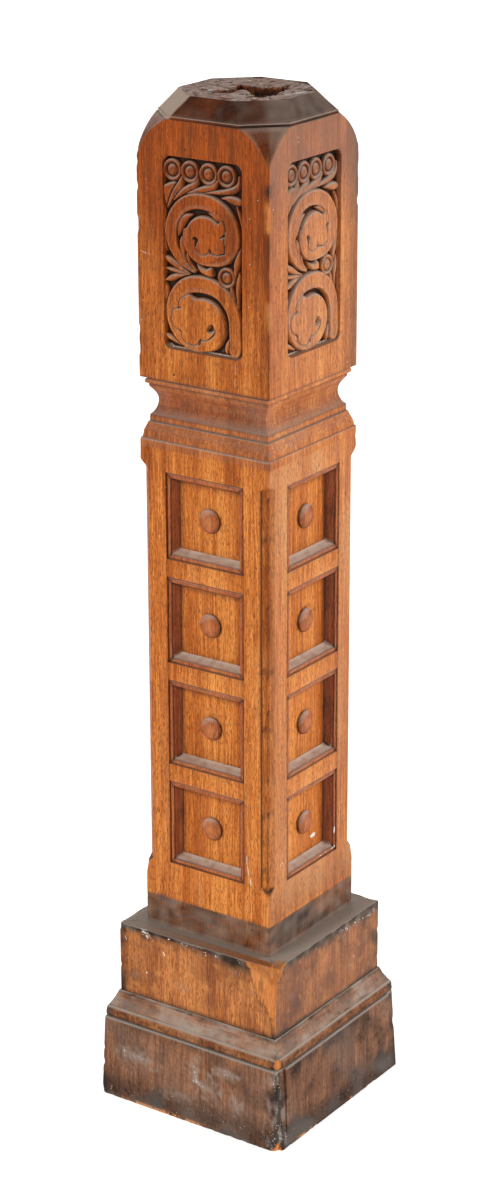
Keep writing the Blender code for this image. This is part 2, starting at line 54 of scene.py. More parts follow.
def near(value, place, reach, core=0.0):   # 1 at a place, falling to 0 a reach away from it
    return softStep(reach, core, abs(value - place))


def cloud(point, size, seed=0.0):
    return noise.noise(Vector(point) / size + Vector((seed, 1.7 * seed, -seed)))


def streaks(point, across, along, seed=0.0):
    return noise.noise(Vector((point[0] / across + seed, point[1] / across - seed, point[2] / along)))


def smoothValue(rows, at):   # Catmull-Rom through rows of (place, value, ...)
    step = 0
    while step < len(rows) - 2 and at > rows[step + 1][0]:
        step += 1
    before, after = rows[max(step - 1, 0)], rows[min(step + 2, len(rows) - 1)]
    low, high = rows[step], rows[step + 1]
    t = (at - low[0]) / (high[0] - low[0])
    return tuple(0.5 * (2 * b + (c - a) * t + (2 * a - 5 * b + 4 * c - d) * t ** 2
                        + (3 * b - 3 * c + d - a) * t ** 3)
                 for a, b, c, d in zip(before[1:], low[1:], high[1:], after[1:]))


def turnTo(face):
    return Matrix.Rotation(math.radians(90 * faces.index(face)), 4, "Z")


def weldedGrid(columns, rows, place):   # a grid laid out point by point, its seams welded
    bm = bmesh.new()
    bmesh.ops.create_grid(bm, x_segments=columns, y_segments=rows, size=1.0)
    bm.verts.ensure_lookup_table()
    for i, vertex in enumerate(bm.verts):
        vertex.co = place(i % (columns + 1), i // (columns + 1))
    bmesh.ops.remove_doubles(bm, verts=bm.verts, dist=0.000004)
    return bm


def openEdges(bm):
    return [edge for edge in bm.edges if edge.is_boundary]


def closeHoles(bm):
    bmesh.ops.holes_fill(bm, edges=openEdges(bm), sides=0)


def newVerts(made):
    return [part for part in made["geom"] if isinstance(part, bmesh.types.BMVert)]


def newObject(name, data):
    made = bpy.data.objects.new(name, data)
    bpy.context.scene.collection.objects.link(made)
    return made


def makePiece(name, bm, finish, nodes, paint=None, sharp=38):
    bmesh.ops.recalc_face_normals(bm, faces=bm.faces)
    mesh = bpy.data.meshes.new(name)
    bm.to_mesh(mesh)
    bm.free()
    mesh.shade_smooth()
    mesh.set_sharp_from_angle(angle=math.radians(sharp))
    mesh.materials.append(finish)
    if paint is not None:
        values = [paint(vertex.co) for vertex in mesh.vertices]
        for i, coat in enumerate(coats[:len(values[0])]):
            layer = mesh.attributes.new(coat, "FLOAT", "POINT")
            layer.data.foreach_set("value", [value[i] for value in values])
    piece = newObject(name, mesh)
    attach(piece, "root")
    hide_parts(*nodes)


class Spot:   # a place on the wood, what has settled on it there, and the light and shade painted on it
    def __init__(self, point):
        self.point = Vector(point)
        self.x, self.y, self.z = point
        self.flat = max(abs(self.x), abs(self.y))
        self.other = min(abs(self.x), abs(self.y))
        self.sideways = abs(self.x) > abs(self.y)
        self.grime = self.dust = self.worn = self.fresh = self.tone = self.paint = 0.0

    def cloud(self, size, seed):
        return cloud(self.point, size, seed)

    def streaks(self, across, along, seed):
        return streaks(self.point, across, along, seed)

    def atCamera(self, reach):   # on the corner towards the camera
        return self.x > reach and self.y < -reach

    def coat(self):
        return (min(self.grime, 1.0), self.dust, max(self.worn, 0.0), self.fresh, self.tone, self.paint)


# Camera, floor and light

view = {"place": (1.7512, -2.5366, 1.7350), "swing": 34.815, "pitch": 20.0502,
        "roll": -0.2124, "lens": 87.26}


def makeCamera(values):
    swing, pitch, roll = (math.radians(values[key]) for key in ("swing", "pitch", "roll"))
    ahead = Vector((-math.sin(swing) * math.cos(pitch), math.cos(swing) * math.cos(pitch),
                    -math.sin(pitch)))
    level = Vector((math.cos(swing), math.sin(swing), 0))
    right = math.cos(roll) * level + math.sin(roll) * level.cross(ahead)
    turned = Matrix((right, right.cross(ahead), -ahead)).transposed().to_4x4()
    turned.translation = values["place"]
    data = bpy.data.cameras.new("camera")
    data.sensor_width = 36
    data.lens = values["lens"]
    data.dof.use_dof = False
    made = newObject("camera", data)
    made.matrix_world = turned
    bpy.context.scene.camera = made


makeCamera(view)
print("camera placed")

lamps = {
    # name: direction it comes from, width of the source in degrees, strength, colour
    "frontLamp": ((-0.95, -2.80, 0.95), 32, 1.57, (1.0, 0.97, 0.93)),
    "sideLamp": ((2.30, 1.75, 0.60), 32, 2.50, (1.0, 0.98, 0.96)),
    "backLamp": ((-1.90, 2.20, 0.60), 32, 1.25, (1.0, 0.98, 0.95)),
}
room = {"air": (1.0, 1.0, 1.0), "airStrength": 0.28, "floorHalf": 60.0, "floorHeight": -0.0005,
        "floor": (0.90, 0.90, 0.90), "floorRough": 0.9, "floorGlow": 0.70}


def makeRoom():
    for name, (source, width, strength, colour) in lamps.items():
        data = bpy.data.lights.new(name, "SUN")
        data.angle = math.radians(width)
        data.energy = strength
        data.color = colour
        made = newObject(name, data)
        made.matrix_world = (-Vector(source)).to_track_quat("-Z", "Y").to_matrix().to_4x4()
    world = bpy.data.worlds.new("studio")
    world.use_nodes = True
    air = world.node_tree.nodes["Background"]
    air.inputs["Color"].default_value = (*room["air"], 1)
    air.inputs["Strength"].default_value = room["airStrength"]
    bpy.context.scene.world = world
    bpy.context.scene.view_settings.view_transform = "Standard"
    bm = bmesh.new()
    bmesh.ops.create_grid(bm, x_segments=2, y_segments=2, size=room["floorHalf"])
    mesh = bpy.data.meshes.new("studioFloor")
    bm.to_mesh(mesh)
    bm.free()
    material = bpy.data.materials.new("paleFloor")
    material.use_nodes = True
    shader = material.node_tree.nodes["Principled BSDF"]
    shader.inputs["Base Color"].default_value = (*room["floor"], 1)
    shader.inputs["Roughness"].default_value = room["floorRough"]
    shader.inputs["Emission Color"].default_value = (1, 1, 1, 1)
    shader.inputs["Emission Strength"].default_value = room["floorGlow"]
    mesh.materials.append(material)
    floor = newObject("studioFloor", mesh)
    floor.location.z = room["floorHeight"]


makeRoom()
print("room lit")


# Finishes

class Wire:
    def __init__(self, tree, socket=None):
        self.tree = tree
        self.socket = socket

    def node(self, kind, settings=None, inputs=None, output=0):
        made = self.tree.nodes.new(kind)
        for key, value in (settings or {}).items():
            if key == "stops":
                while len(made.color_ramp.elements) < len(value):
                    made.color_ramp.elements.new(0.5)
                for element, (place, colour) in zip(made.color_ramp.elements, value):
                    element.position = place
                    element.color = (*colour, 1)
            else:
                setattr(made, key, value)
        for key, value in (inputs or {}).items():
            if isinstance(value, Wire):
                self.tree.links.new(value.socket, made.inputs[key])
            else:
                made.inputs[key].default_value = value
        return Wire(self.tree, made.outputs[output]) if made.outputs else None

    def math(self, operation, first, second=0.0, clamp=False):
        return self.node("ShaderNodeMath", {"operation": operation, "use_clamp": clamp},
                         {0: first, 1: second})

    def __add__(self, other):
        return self.math("ADD", self, other)

    def __radd__(self, other):
        return self.math("ADD", other, self)

    def __sub__(self, other):
        return self.math("SUBTRACT", self, other)

    def __rsub__(self, other):
        return self.math("SUBTRACT", other, self)

    def __mul__(self, other):
        return self.math("MULTIPLY", self, other)

    def __rmul__(self, other):
        return self.math("MULTIPLY", other, self)

    def clamped(self):
        return self.math("ADD", self, 0.0, True)

    def between(self, low, high):
        return self.node("ShaderNodeMapRange", {"interpolation_type": "SMOOTHSTEP"},
                         {"Value": self, "From Min": low, "From Max": high})

    def part(self, axis):
        return self.node("ShaderNodeSeparateXYZ", {}, {0: self}, axis)

    def moved(self, other):
        return self.node("ShaderNodeVectorMath", {"operation": "ADD"}, {0: self, 1: other})

    def scaled(self, amount):
        return self.node("ShaderNodeVectorMath", {"operation": "SCALE"}, {0: self, "Scale": amount})

    def cloud(self, stretch, detail=2.0, rough=0.5, output=0):
        spread = self.node("ShaderNodeMapping", {}, {"Vector": self, "Scale": stretch})
        return self.node("ShaderNodeTexNoise", {}, {"Vector": spread, "Scale": 1.0,
                         "Detail": detail, "Roughness": rough}, output)

    def mixed(self, colour, amount):
        colour = colour if isinstance(colour, Wire) else (*colour, 1)
        return self.node("ShaderNodeMix", {"data_type": "RGBA"}, {0: amount, 6: self, 7: colour}, 2)

    def coat(self, name):
        return self.node("ShaderNodeAttribute", {"attribute_name": name}, {}, "Fac")


def makeFinish(name, v):
    material = bpy.data.materials.new(name)
    material.use_nodes = True
    tree = material.node_tree
    tree.nodes.clear()
    start = Wire(tree)
    at = start.node("ShaderNodeTexCoord", output="Object")
    wander = at.cloud((7, 7, 2.2), 2, output="Color")
    bent = at.moved(wander.scaled(0.012))
    figure = bent.cloud((34, 34, 1.2), 3)
    streak = bent.cloud((230, 230, 6), 3, 0.6)
    thread = bent.cloud((820, 820, 30), 3, 0.6)
    pore = bent.cloud((1250, 1250, 190), 1, 0.4)
    patch = at.cloud((17, 17, 8), 3)
    crumb = at.cloud((420, 420, 420), 2, 0.6)
    speck = at.cloud((130, 130, 130), 2)
    value = (figure * 0.30 + streak * 0.30 + thread * 0.40).between(0.37, 0.63)
    colour = value.node("ShaderNodeValToRGB", {"stops": ((0.0, v["dark"]), (0.5, v["middle"]),
                        (1.0, v["light"]))}, {"Fac": value})
    # tone, which also carries painted light and shade by face, moves the colour towards shade or glow
    tone = start.coat("tone")
    shade = value.node("ShaderNodeValToRGB", {"stops": ((0.0, [c * 0.50 for c in v["shade"]]),
                       (0.5, v["shade"]), (1.0, [c * 1.65 for c in v["shade"]]))}, {"Fac": value})
    colour = colour.mixed(shade, (patch.between(0.48, 0.72) * v["patchy"]
                                  + tone.between(0.0, -1.0)).clamped())
    colour = colour.mixed(v["glow"], tone.between(0.0, 1.0) * 0.8)
    pores = pore.between(v["poreFrom"], v["poreFrom"] + 0.08)
    colour = colour.mixed(v["pore"], pores * v["pores"])
    # wear, which also carries a painted sheen, bares lighter wood
    worn = (start.coat("worn") * (0.55 + crumb * 0.9)).clamped()
    colour = colour.mixed(v["bare"], worn)
    # grime, which also carries painted shade, darkens the colour
    grime = start.coat("grime")
    dirtAndShade = (grime * (0.62 + streak * 0.45 + crumb * 0.3)).clamped()
    colour = colour.mixed(v["grime"], dirtAndShade)
    # dust, which also carries a painted sheen and highlights, with dust settling on what faces up
    up = start.node("ShaderNodeNewGeometry", output="Normal").part(2)
    dustyAndSheen = (up.between(0.22, 0.75) * v["settled"] + start.coat("dust"))
    dustyAndSheen = (dustyAndSheen * (0.55 + crumb * 0.5 + patch * 0.35)).clamped()
    colour = colour.mixed(v["dust"], dustyAndSheen)
    fresh = start.coat("fresh")
    rawGrain = (streak * 0.5 + thread * 0.5).between(0.35, 0.65)
    raw = rawGrain.node("ShaderNodeValToRGB", {"stops": ((0.0, v["rawDark"]), (1.0, v["raw"]))},
                        {"Fac": rawGrain})
    colour = colour.mixed(raw, fresh.clamped())
    spots = (crumb * 0.75 + speck * 0.25 + start.coat("paint") * 0.6).between(0.84, 0.88)
    colour = colour.mixed(v["paint"], spots * 0.85)
    rough = (v["rough"] + (thread - 0.5) * 0.10 + (patch - 0.5) * 0.16
             + (dustyAndSheen + dirtAndShade * 0.5 + fresh) * 0.35).clamped()
    height = (thread * 0.35 + streak * 0.35 - pores * 0.9 + (crumb - 0.5) * dustyAndSheen * 0.8
              + (crumb - 0.5) * fresh * 0.8)
    bump = start.node("ShaderNodeBump", {}, {"Height": height, "Strength": v["bump"],
                      "Distance": 0.0004})
    shader = start.node("ShaderNodeBsdfPrincipled", {}, {
        "Base Color": colour, "Roughness": rough, "Normal": bump,
        "Specular IOR Level": v["gloss"]})
    start.node("ShaderNodeOutputMaterial", {}, {"Surface": shader})
    return material


oldWood = {
    "dark": (0.330, 0.072, 0.009), "middle": (0.530, 0.150, 0.024), "light": (0.720, 0.275, 0.062),
    "shade": (0.275, 0.055, 0.0055), "glow": (0.640, 0.290, 0.105), "patchy": 0.16,
    "pore": (0.110, 0.030, 0.009), "pores": 0.60, "poreFrom": 0.55,
    "bare": (0.720, 0.300, 0.090), "grime": (0.022, 0.012, 0.009), "dust": (0.400, 0.310, 0.250),
    "rawDark": (0.480, 0.150, 0.036), "raw": (0.700, 0.275, 0.085), "paint": (0.640, 0.610, 0.570),
    "settled": 0.40, "rough": 0.44, "gloss": 0.085, "bump": 0.55,
}
postFinish = makeFinish("postFinish", oldWood)
trimFinish = makeFinish("trimFinish", {**oldWood, "dark": (0.230, 0.046, 0.012),
                        "middle": (0.360, 0.090, 0.024), "light": (0.470, 0.145, 0.042),
                        "shade": (0.170, 0.034, 0.010), "settled": 0.38, "patchy": 0.1,
                        "dust": (0.600, 0.460, 0.370), "gloss": 0.16})
plinthFinish = makeFinish("plinthFinish", {**oldWood, "dark": (0.260, 0.072, 0.020),
                          "middle": (0.480, 0.160, 0.040), "light": (0.620, 0.245, 0.070),
                          "shade": (0.150, 0.042, 0.016), "patchy": 0.35, "settled": 0.62,
                          "rough": 0.5, "dust": (0.400, 0.330, 0.275), "gloss": 0.13})
skirtingFinish = makeFinish("skirtingFinish", {**oldWood, "dark": (0.140, 0.055, 0.026),
                            "middle": (0.270, 0.115, 0.054), "light": (0.390, 0.175, 0.086),
                            "shade": (0.100, 0.056, 0.038), "patchy": 0.55, "settled": 0.9,
                            "rough": 0.60, "pores": 0.5, "dust": (0.350, 0.300, 0.260),
                            "gloss": 0.13})
print("finishes made")


# The squared baulk

baulk = {
    "shaftHalf": 0.0862, "headHalf": 0.0858, "neckFoot": 0.8090, "headFoot": 0.8780,
    "headTop": 1.1630, "capFoot": 1.1660, "capLine": 0.0006, "capTop": 1.1870, "ledgeRise": 0.0001,
    # heights that part the shaft from the neck, and the neck from the head, for the paint
    "shaftEnd": 0.8000, "neckEnd": 0.8795, "headStart": 0.8790,
    # dark band at the foot: its upper limit, its edge, and where dust lies on it
    "bandLimit": 0.2765, "bandEdge": 0.2600, "bandDust": (0.2270, 0.2220),
    "chamferLeg": 0.0110, "chamferFoot": 0.3040, "chamferTop": 0.7755, "topStop": 0.0090,
    "ledgeDrop": 0.0060, "tailLeg": 0.0047, "tail": 0.0230,
    "shoulderFoot": 1.1090, "shoulderRun": 0.0274, "shoulderSteps": 16,
    "filletSetBack": 0.0012, "capSetBack": 0.0023, "capTopHalf": 0.0685, "capTopDiagonal": 0.0700,
    "arris": 0.0012, "arrisClear": 0.0125, "arrisSpan": 0.0145, "arrisSteps": 6,
    "longestRow": 0.0030,
    # knocks in the arris towards the camera, each as its heights and its depth
    "knocks": ((1.050, 1.062, 1.078, 1.092, 0.0014), (0.892, 0.898, 0.905, 0.912, 0.0010),
               (1.093, 1.098, 1.103, 1.108, 0.0016)),
    # faces further out than this are on the flat of a side
    "skin": 0.0845, "wearInside": 0.0585, "wearTop": 1.16, "neckArris": 0.0780,
    "rimDrop": 0.0004, "rimIn": 0.0006, "topSink": 0.0170,
    # columns of points across a face, and how far in from the arris the last ones stand
    "columns": (0.0, 0.010, 0.020, 0.029, 0.035, 0.0385, 0.0415, 0.0470, 0.0520, 0.0560),
    "nearArris": (0.0110, 0.0065, 0.0035, 0.0015, 0.0),
    # lines of dirt and painted shade in the creases of the neck and under the head, each as (height,
    # reach, strength), and its two dusty ledges
    "neckDirtAndShade": ((0.8082, 0.0010, 0.80), (0.8274, 0.0010, 0.95), (0.8702, 0.0013, 0.75),
                 (0.8768, 0.0020, 0.90), (0.8676, 0.0030, 0.30), (0.8347, 0.0010, 0.5)),
    "neckLedges": ((0.8091, 0.0006), (0.8267, 0.0007)), "quirkHeight": 1.1634,
    # runs of the neck moulding, each smooth along its length, as (height, half width)
    "neckRuns": (
        ((0.8091, 0.0846), (0.8130, 0.0843), (0.8180, 0.0829), (0.8225, 0.0810), (0.8264, 0.0797)),
        ((0.8272, 0.0783), (0.8345, 0.0780)),
        ((0.8347, 0.0778), (0.8372, 0.0755), (0.8410, 0.0733), (0.8455, 0.0717), (0.8505, 0.0711),
         (0.8555, 0.0717), (0.8600, 0.0737), (0.8640, 0.0765), (0.8665, 0.0784)),
        ((0.8667, 0.0785), (0.8700, 0.0786)),
        ((0.8704, 0.0806), (0.8710, 0.0814), (0.8720, 0.0818), (0.8730, 0.0819), (0.8742, 0.0817),
         (0.8752, 0.0810)),
        ((0.8756, 0.0795), (0.8779, 0.0795)),
    ),
}
coffers = {
    "half": 0.0520, "depth": 0.0120, "foot": 0.3040, "heights": (0.1028, 0.1026, 0.1020, 0.1008),
    "rail": 0.0208, "quirk": 0.0012, "gap": 0.0003,
    # section of the moulding as (inset, depth)
    "profile": ((0.0, 0.0117), (0.0, 0.0027), (0.0003, 0.0017), (0.0009, 0.0010), (0.0018, 0.0007),
                (0.0029, 0.0006), (0.0040, 0.0008), (0.0047, 0.0012), (0.0049, 0.0021),
                (0.0056, 0.0028), (0.0063, 0.0044), (0.0071, 0.0064), (0.0080, 0.0084),
                (0.0091, 0.0103), (0.0105, 0.0117)),
    "lengthSteps": 23,
}
cofferHead = coffers["foot"] + sum(coffers["heights"]) + 3 * coffers["rail"]
block = {"half": 0.0560, "foot": 0.9100, "head": 1.1300, "depth": 0.0140, "pocket": 0.0146}


def legFor(half, diagonal):
    return 2 * half - diagonal * math.sqrt(2)


def baulkRows():   # height, half width and corner leg of each row of points
    v = baulk
    tail = v["chamferFoot"] - v["ledgeDrop"]
    rows = [(0.0, v["shaftHalf"], 0.0), (tail - v["tail"], v["shaftHalf"], 0.0),
            (tail, v["shaftHalf"], v["tailLeg"]), (v["chamferFoot"], v["shaftHalf"], v["chamferLeg"]),
            (cofferHead, v["shaftHalf"], v["chamferLeg"]),
            (v["chamferTop"], v["shaftHalf"], v["chamferLeg"]),
            (v["chamferTop"] + v["topStop"], v["shaftHalf"], 0.0),
            (v["neckFoot"], v["shaftHalf"], 0.0)]
    for run in v["neckRuns"]:
        steps = 3 if len(run) > 2 else 1
        places = [(i, *point) for i, point in enumerate(run)]
        for i in range((len(run) - 1) * steps + 1):
            z, half = smoothValue(places, i / steps)
            rows.append((z, half, 0.0))
    rows += [(v["headFoot"], v["headHalf"], 0.0), (block["foot"], v["headHalf"], 0.0)]
    rise = v["headTop"] - v["shoulderFoot"]
    radius = (v["shoulderRun"] ** 2 + rise ** 2) / (2 * v["shoulderRun"])
    corner = v["headHalf"] * math.sqrt(2)
    heights = [v["shoulderFoot"] + rise * i / v["shoulderSteps"] for i in range(v["shoulderSteps"])]
    for z in sorted(heights + [block["head"], v["headTop"]]):
        reach = radius - math.sqrt(radius ** 2 - (z - v["shoulderFoot"]) ** 2)
        rows.append((z, v["headHalf"], legFor(v["headHalf"], corner - reach)))
    top = corner - v["shoulderRun"]
    fillet, cap = v["headHalf"] - v["filletSetBack"], v["headHalf"] - v["capSetBack"]
    filletLeg = legFor(fillet, top - v["filletSetBack"])
    low = v["capLine"] / (v["capTop"] - v["capFoot"])   # share of the slope that the dusty line takes
    slopeHalf = cap + (v["capTopHalf"] - cap) * low
    slopeCorner = top - v["capSetBack"] + (v["capTopDiagonal"] - top + v["capSetBack"]) * low
    rows += [(v["headTop"] + v["ledgeRise"], fillet, filletLeg),
             (v["capFoot"] - v["capLine"], fillet, filletLeg), (v["capFoot"], fillet, filletLeg),
             (v["capFoot"] + v["ledgeRise"], cap, legFor(cap, top - v["capSetBack"])),
             (v["capFoot"] + v["capLine"], slopeHalf, legFor(slopeHalf, slopeCorner)),
             (v["capTop"], v["capTopHalf"], legFor(v["capTopHalf"], v["capTopDiagonal"]))]
    filled = [rows[0]]
    for low, high in zip(rows, rows[1:]):
        steps = max(1, math.ceil((high[0] - low[0]) / v["longestRow"] - 0.001))
        for i in range(1, steps + 1):
            filled.append(tuple(a + (b - a) * i / steps for a, b in zip(low, high)))
    return filled


def quarterRow(z, half, leg):   # a quarter of one row: along a face, then round its right corner
    v = baulk
    leg = max(leg, v["arris"])
    edge = half - leg
    inner = min(block["half"], edge - v["arrisClear"])
    places = [inner * u / block["half"] for u in v["columns"]]
    places += [edge - (edge - inner) * d / v["arrisSpan"] for d in v["nearArris"]]
    points = [Vector((-u, -half, z)) for u in places[:0:-1]] + [Vector((u, -half, z)) for u in places]
    flat = softStep(0.0014, 0.0045, leg)
    for i in range(1, v["arrisSteps"]):
        share = i / v["arrisSteps"]
        angle = math.radians(-90 + 90 * share)
        curved = Vector((edge + leg * math.cos(angle), -edge + leg * math.sin(angle), z))
        straight = Vector((edge + leg * share, -half + leg * share, z))
        points.append(curved.lerp(straight, flat))
    return points


def arrisWear(point):   # how far knocks have gone in at an arris
    wear = softStep(0.24, 0.55, cloud(point, 0.013, 3.1)) * 0.0008
    if Spot(point).atCamera(0.06):
        for foot, low, high, head, deep in baulk["knocks"]:
            wear += softStep(foot, low, point.z) * softStep(head, high, point.z) * deep
    return wear + softStep(0.20, 0.55, streaks(point, 0.03, 0.06, 5.0)) * 0.0002


def arrisShare(point, half):   # 1 at an arris, 0 away from it
    other = min(abs(point[0]), abs(point[1]))
    return softStep(half - 0.0075, half - 0.0012, other)


def headPaintedShade(point):   # painted shade: the head is a deeper red towards its top, and its front is darker than its sides
    x, y, z = point
    if abs(y) > abs(x):
        return -0.20 - 0.72 * softStep(0.90, 1.07, z)
    return 0.08 - 0.66 * softStep(0.99, 1.13, z)


def paintBand(spot, patch, fleck):   # bare dark band that a moulding once covered
    edge = baulk["bandEdge"] + 0.0016 * spot.cloud(0.02, 4.0) + 0.0006 * fleck
    band = softStep(edge, edge - 0.0020, spot.z)
    spot.tone += 0.25 * (1 - band) * softStep(0.0, 0.5, patch) - band * 0.3
    spot.grime += band * (0.80 + 0.12 * spot.sideways + 0.34 * patch + 0.26 * fleck)
    spot.dust += band * (0.17 + 0.30 * spot.cloud(0.014, 7.0) + 0.04 * spot.sideways)
    spot.dust += softStep(*baulk["bandDust"], spot.z) * 0.4
    spot.paint += band * 0.20


def paintCofferFloor(spot):
    # painted shade on the coffer floor: darker towards its side walls and along the frames, most under
    # the top strip
    spot.tone += 0.12 - 0.50 * softStep(0.0295, 0.0395, spot.other)
    rim = coffers["quirk"] + coffers["profile"][-1][0]
    for foot, height in cofferPlaces():
        low, high = foot + rim, foot + height - rim
        if low - 0.004 < spot.z < high + 0.004:
            spot.grime += 0.45 * softStep(0.006, 0.0005, high - spot.z)
            spot.grime += 0.22 * softStep(0.004, 0.0, spot.z - low)
            spot.grime += 0.34 * softStep(0.006, 0.0, 0.0403 - spot.other)


def paintChamfer(spot, cham, patch):
    half, leg = baulk["shaftHalf"], baulk["chamferLeg"]
    if baulk["chamferFoot"] < spot.z < baulk["chamferTop"]:
        spot.tone -= 0.50 * cham + 0.25 * cham * max(patch, 0)
        spot.grime += 0.18 * softStep(0.7480, 0.7740, spot.z) * cham
        spot.grime += 0.45 * cham * softStep(0.25, 0.5, spot.cloud(0.014, 21.0))
        if spot.atCamera(0):                         # dirt in the quirk along the left of the strip
            spot.grime += 0.95 * near(spot.x, half - leg - 0.0002, 0.0020, 0.0006)
    ledge = softStep(0.2975, 0.2985, spot.z) * softStep(0.3046, 0.3038, spot.z) * cham
    spot.dust -= 0.40 * ledge
    spot.grime += 0.85 * ledge
    if spot.atCamera(0):
        spot.worn += 0.30 * cham * near(spot.y, leg - half, 0.0030)


def paintShaft(spot, patch, fleck, long):
    v = baulk
    z, other, sideways = spot.z, spot.other, spot.sideways
    if z > 0.262:
        # side faces painted lighter, as light falling on them; the front darker towards its left edge
        spot.tone += 0.10 + 0.6 * long + (0.30 if sideways else -0.40 * softStep(-0.05, -0.08, spot.x))
        spot.tone -= 0.45 * softStep(0.285, 0.262, z) * sideways
        spot.tone -= 0.30 * softStep(0.700, 0.800, z) * (1.0 - 0.5 * sideways)
        # the side faces get dust and a painted sheen, and painted shade that darkens towards their foot
        spot.dust += 0.11 * sideways
        spot.grime += (0.08 * softStep(0.62, 0.42, z) + 0.16 * softStep(0.31, 0.28, z)) * sideways
        spot.grime += 0.16 * softStep(0.075, 0.086, other) * softStep(0.0, 0.4, spot.cloud(0.04, 26.0))
    cham = softStep(v["shaftHalf"] - 0.0006, v["shaftHalf"] - 0.0016, spot.flat)
    paintChamfer(spot, cham, patch)
    arris = arrisShare(spot.point, v["shaftHalf"] - 0.004)
    spot.worn += 0.34 * arris * softStep(0.0, 0.5, spot.cloud(0.03, 6.0))
    spot.grime += 0.16 * near(other, coffers["half"], 0.004) * (0.6 + fleck)
    spot.grime += 0.45 * softStep(0.7998, 0.8085, z)


def paintNeck(spot, patch):
    z, sideways = spot.z, spot.sideways
    brushed = streaks((z * 11, 0.3 * (spot.x + spot.y), 0.0), 0.03, 1.0, 4.0)
    # dirt and painted shade along the creases of the neck
    for place, reach, much in baulk["neckDirtAndShade"]:
        spot.grime += much * near(z, place, reach)
    hollow = softStep(0.8340, 0.8380, z) * softStep(0.8660, 0.8600, z)
    # the front of the neck painted darker than its sides, as shade by face, and darker and streaked in
    # the cove
    spot.tone -= 0.48 + 0.25 * hollow - 0.53 * sideways - 0.6 * brushed * hollow
    spot.grime += 0.12 * hollow + 0.28 * hollow * softStep(0.1, 0.5, brushed) + 0.07 * (not sideways)
    spot.dust += 0.07 + 0.10 * softStep(0.0, 0.5, patch)
    for place, reach in baulk["neckLedges"]:
        spot.dust += (0.30 if sideways else 0.55) * near(z, place, reach, 0.0001)
    spot.worn += 0.30 * softStep(0.8722, 0.8732, z) * softStep(0.8752, 0.8742, z) * (0.6 + patch)


def paintCap(spot, patch, fleck):
    v = baulk
    spot.tone = -1.0 + 0.3 * max(fleck, 0)
    spot.grime += 0.30 + 0.14 * patch + 0.1 * fleck + 0.25 * softStep(1.1658, 1.1650, spot.z)
    spot.dust += 0.16 * spot.cloud(0.012, 41.0) - 0.30
    spot.dust += 1.1 * near(spot.z, v["capFoot"], 0.0007, 0.0001)
    corner = v["headHalf"] * math.sqrt(2) - v["shoulderRun"] - v["capSetBack"]
    rise = max(spot.z - v["capFoot"], 0) / (v["capTop"] - v["capFoot"])
    corner += (v["capTopDiagonal"] - corner) * rise
    if spot.x < 0 and spot.y < 0:                    # the facet that faces away to the left is dusty
        facing = softStep(-0.0040, -0.0010, (spot.flat + spot.other) / math.sqrt(2) - corner)
        spot.dust += facing * (1.05 + 0.5 * spot.cloud(0.010, 43.0))
        spot.grime -= 0.16 * facing


def paintHead(spot, patch, fleck, long):
    v = baulk
    z, other = spot.z, spot.other
    spot.tone += headPaintedShade(spot.point) - 0.12 * softStep(0.0, 0.5, patch) + 0.45 * long
    if z > 1.110:
        facet = softStep(v["headHalf"] - 0.0008, v["headHalf"] - 0.0020, spot.flat)
        spot.tone -= 0.60 * facet
        spot.grime += 0.44 * facet
        spot.dust -= 0.30 * facet * softStep(1.1610, 1.1585, z)
    # the side faces get dust and a painted sheen that grow towards the top, painted shade towards the
    # top, and darkening towards the far edge; the front gets a little painted shade
    if spot.sideways:
        spot.dust += 0.11 + 0.14 * softStep(1.00, 1.14, z)
        spot.grime += 0.42 * softStep(0.050, 0.082, spot.y) + 0.20 * softStep(1.04, 1.14, z)
    else:
        spot.grime += 0.05
        spot.grime += 0.14 * softStep(0.060, 0.082, other) * softStep(-0.2, 0.4, spot.cloud(0.05, 24.0))
    arris = arrisShare(spot.point, v["headHalf"])
    if spot.atCamera(0.06):                          # pale wood where the near arris is chipped
        chip = softStep(1.050, 1.062, z) * softStep(1.094, 1.080, z) * arris
        spot.grime += 0.8 * softStep(1.094, 1.099, z) * softStep(1.110, 1.104, z) * arris - 0.5 * chip
        spot.fresh = chip * softStep(-0.25, 0.15, spot.cloud(0.008, 47.0))
    if z > v["headTop"]:
        paintCap(spot, patch, fleck)
    spot.grime += 0.85 * near(z, v["quirkHeight"], 0.0012) * softStep(0.0, 0.3, patch + 0.25)
    spot.grime += 0.10 * softStep(0.06, 0.5, spot.cloud(0.03, 31.0))
    spot.grime += 0.60 * softStep(0.8798, 0.8784, z)
    spot.worn += 0.45 * arris * softStep(0.02, 0.5, spot.cloud(0.022, 8.0))
    spot.grime += 0.22 * arris * softStep(0.05, 0.5, spot.cloud(0.017, 28.0))


def paintBaulk(point):
    v = baulk
    spot = Spot(point)
    patch, fleck = spot.cloud(0.045, 2.0), spot.cloud(0.006, 9.0)
    long = spot.streaks(0.02, 0.14, 12.0)
    if spot.z < v["bandLimit"]:
        paintBand(spot, patch, fleck)
    if spot.z >= v["neckEnd"]:
        paintHead(spot, patch, fleck, long)
    elif spot.z >= v["shaftEnd"]:
        paintNeck(spot, patch)
    elif spot.flat < 0.0810:
        paintCofferFloor(spot)
    else:
        paintShaft(spot, patch, fleck, long)
    return spot.coat()


def cofferPlaces():
    made, foot = [], coffers["foot"]
    for height in coffers["heights"]:
        made.append((foot, height))
        foot += height + coffers["rail"]
    return made


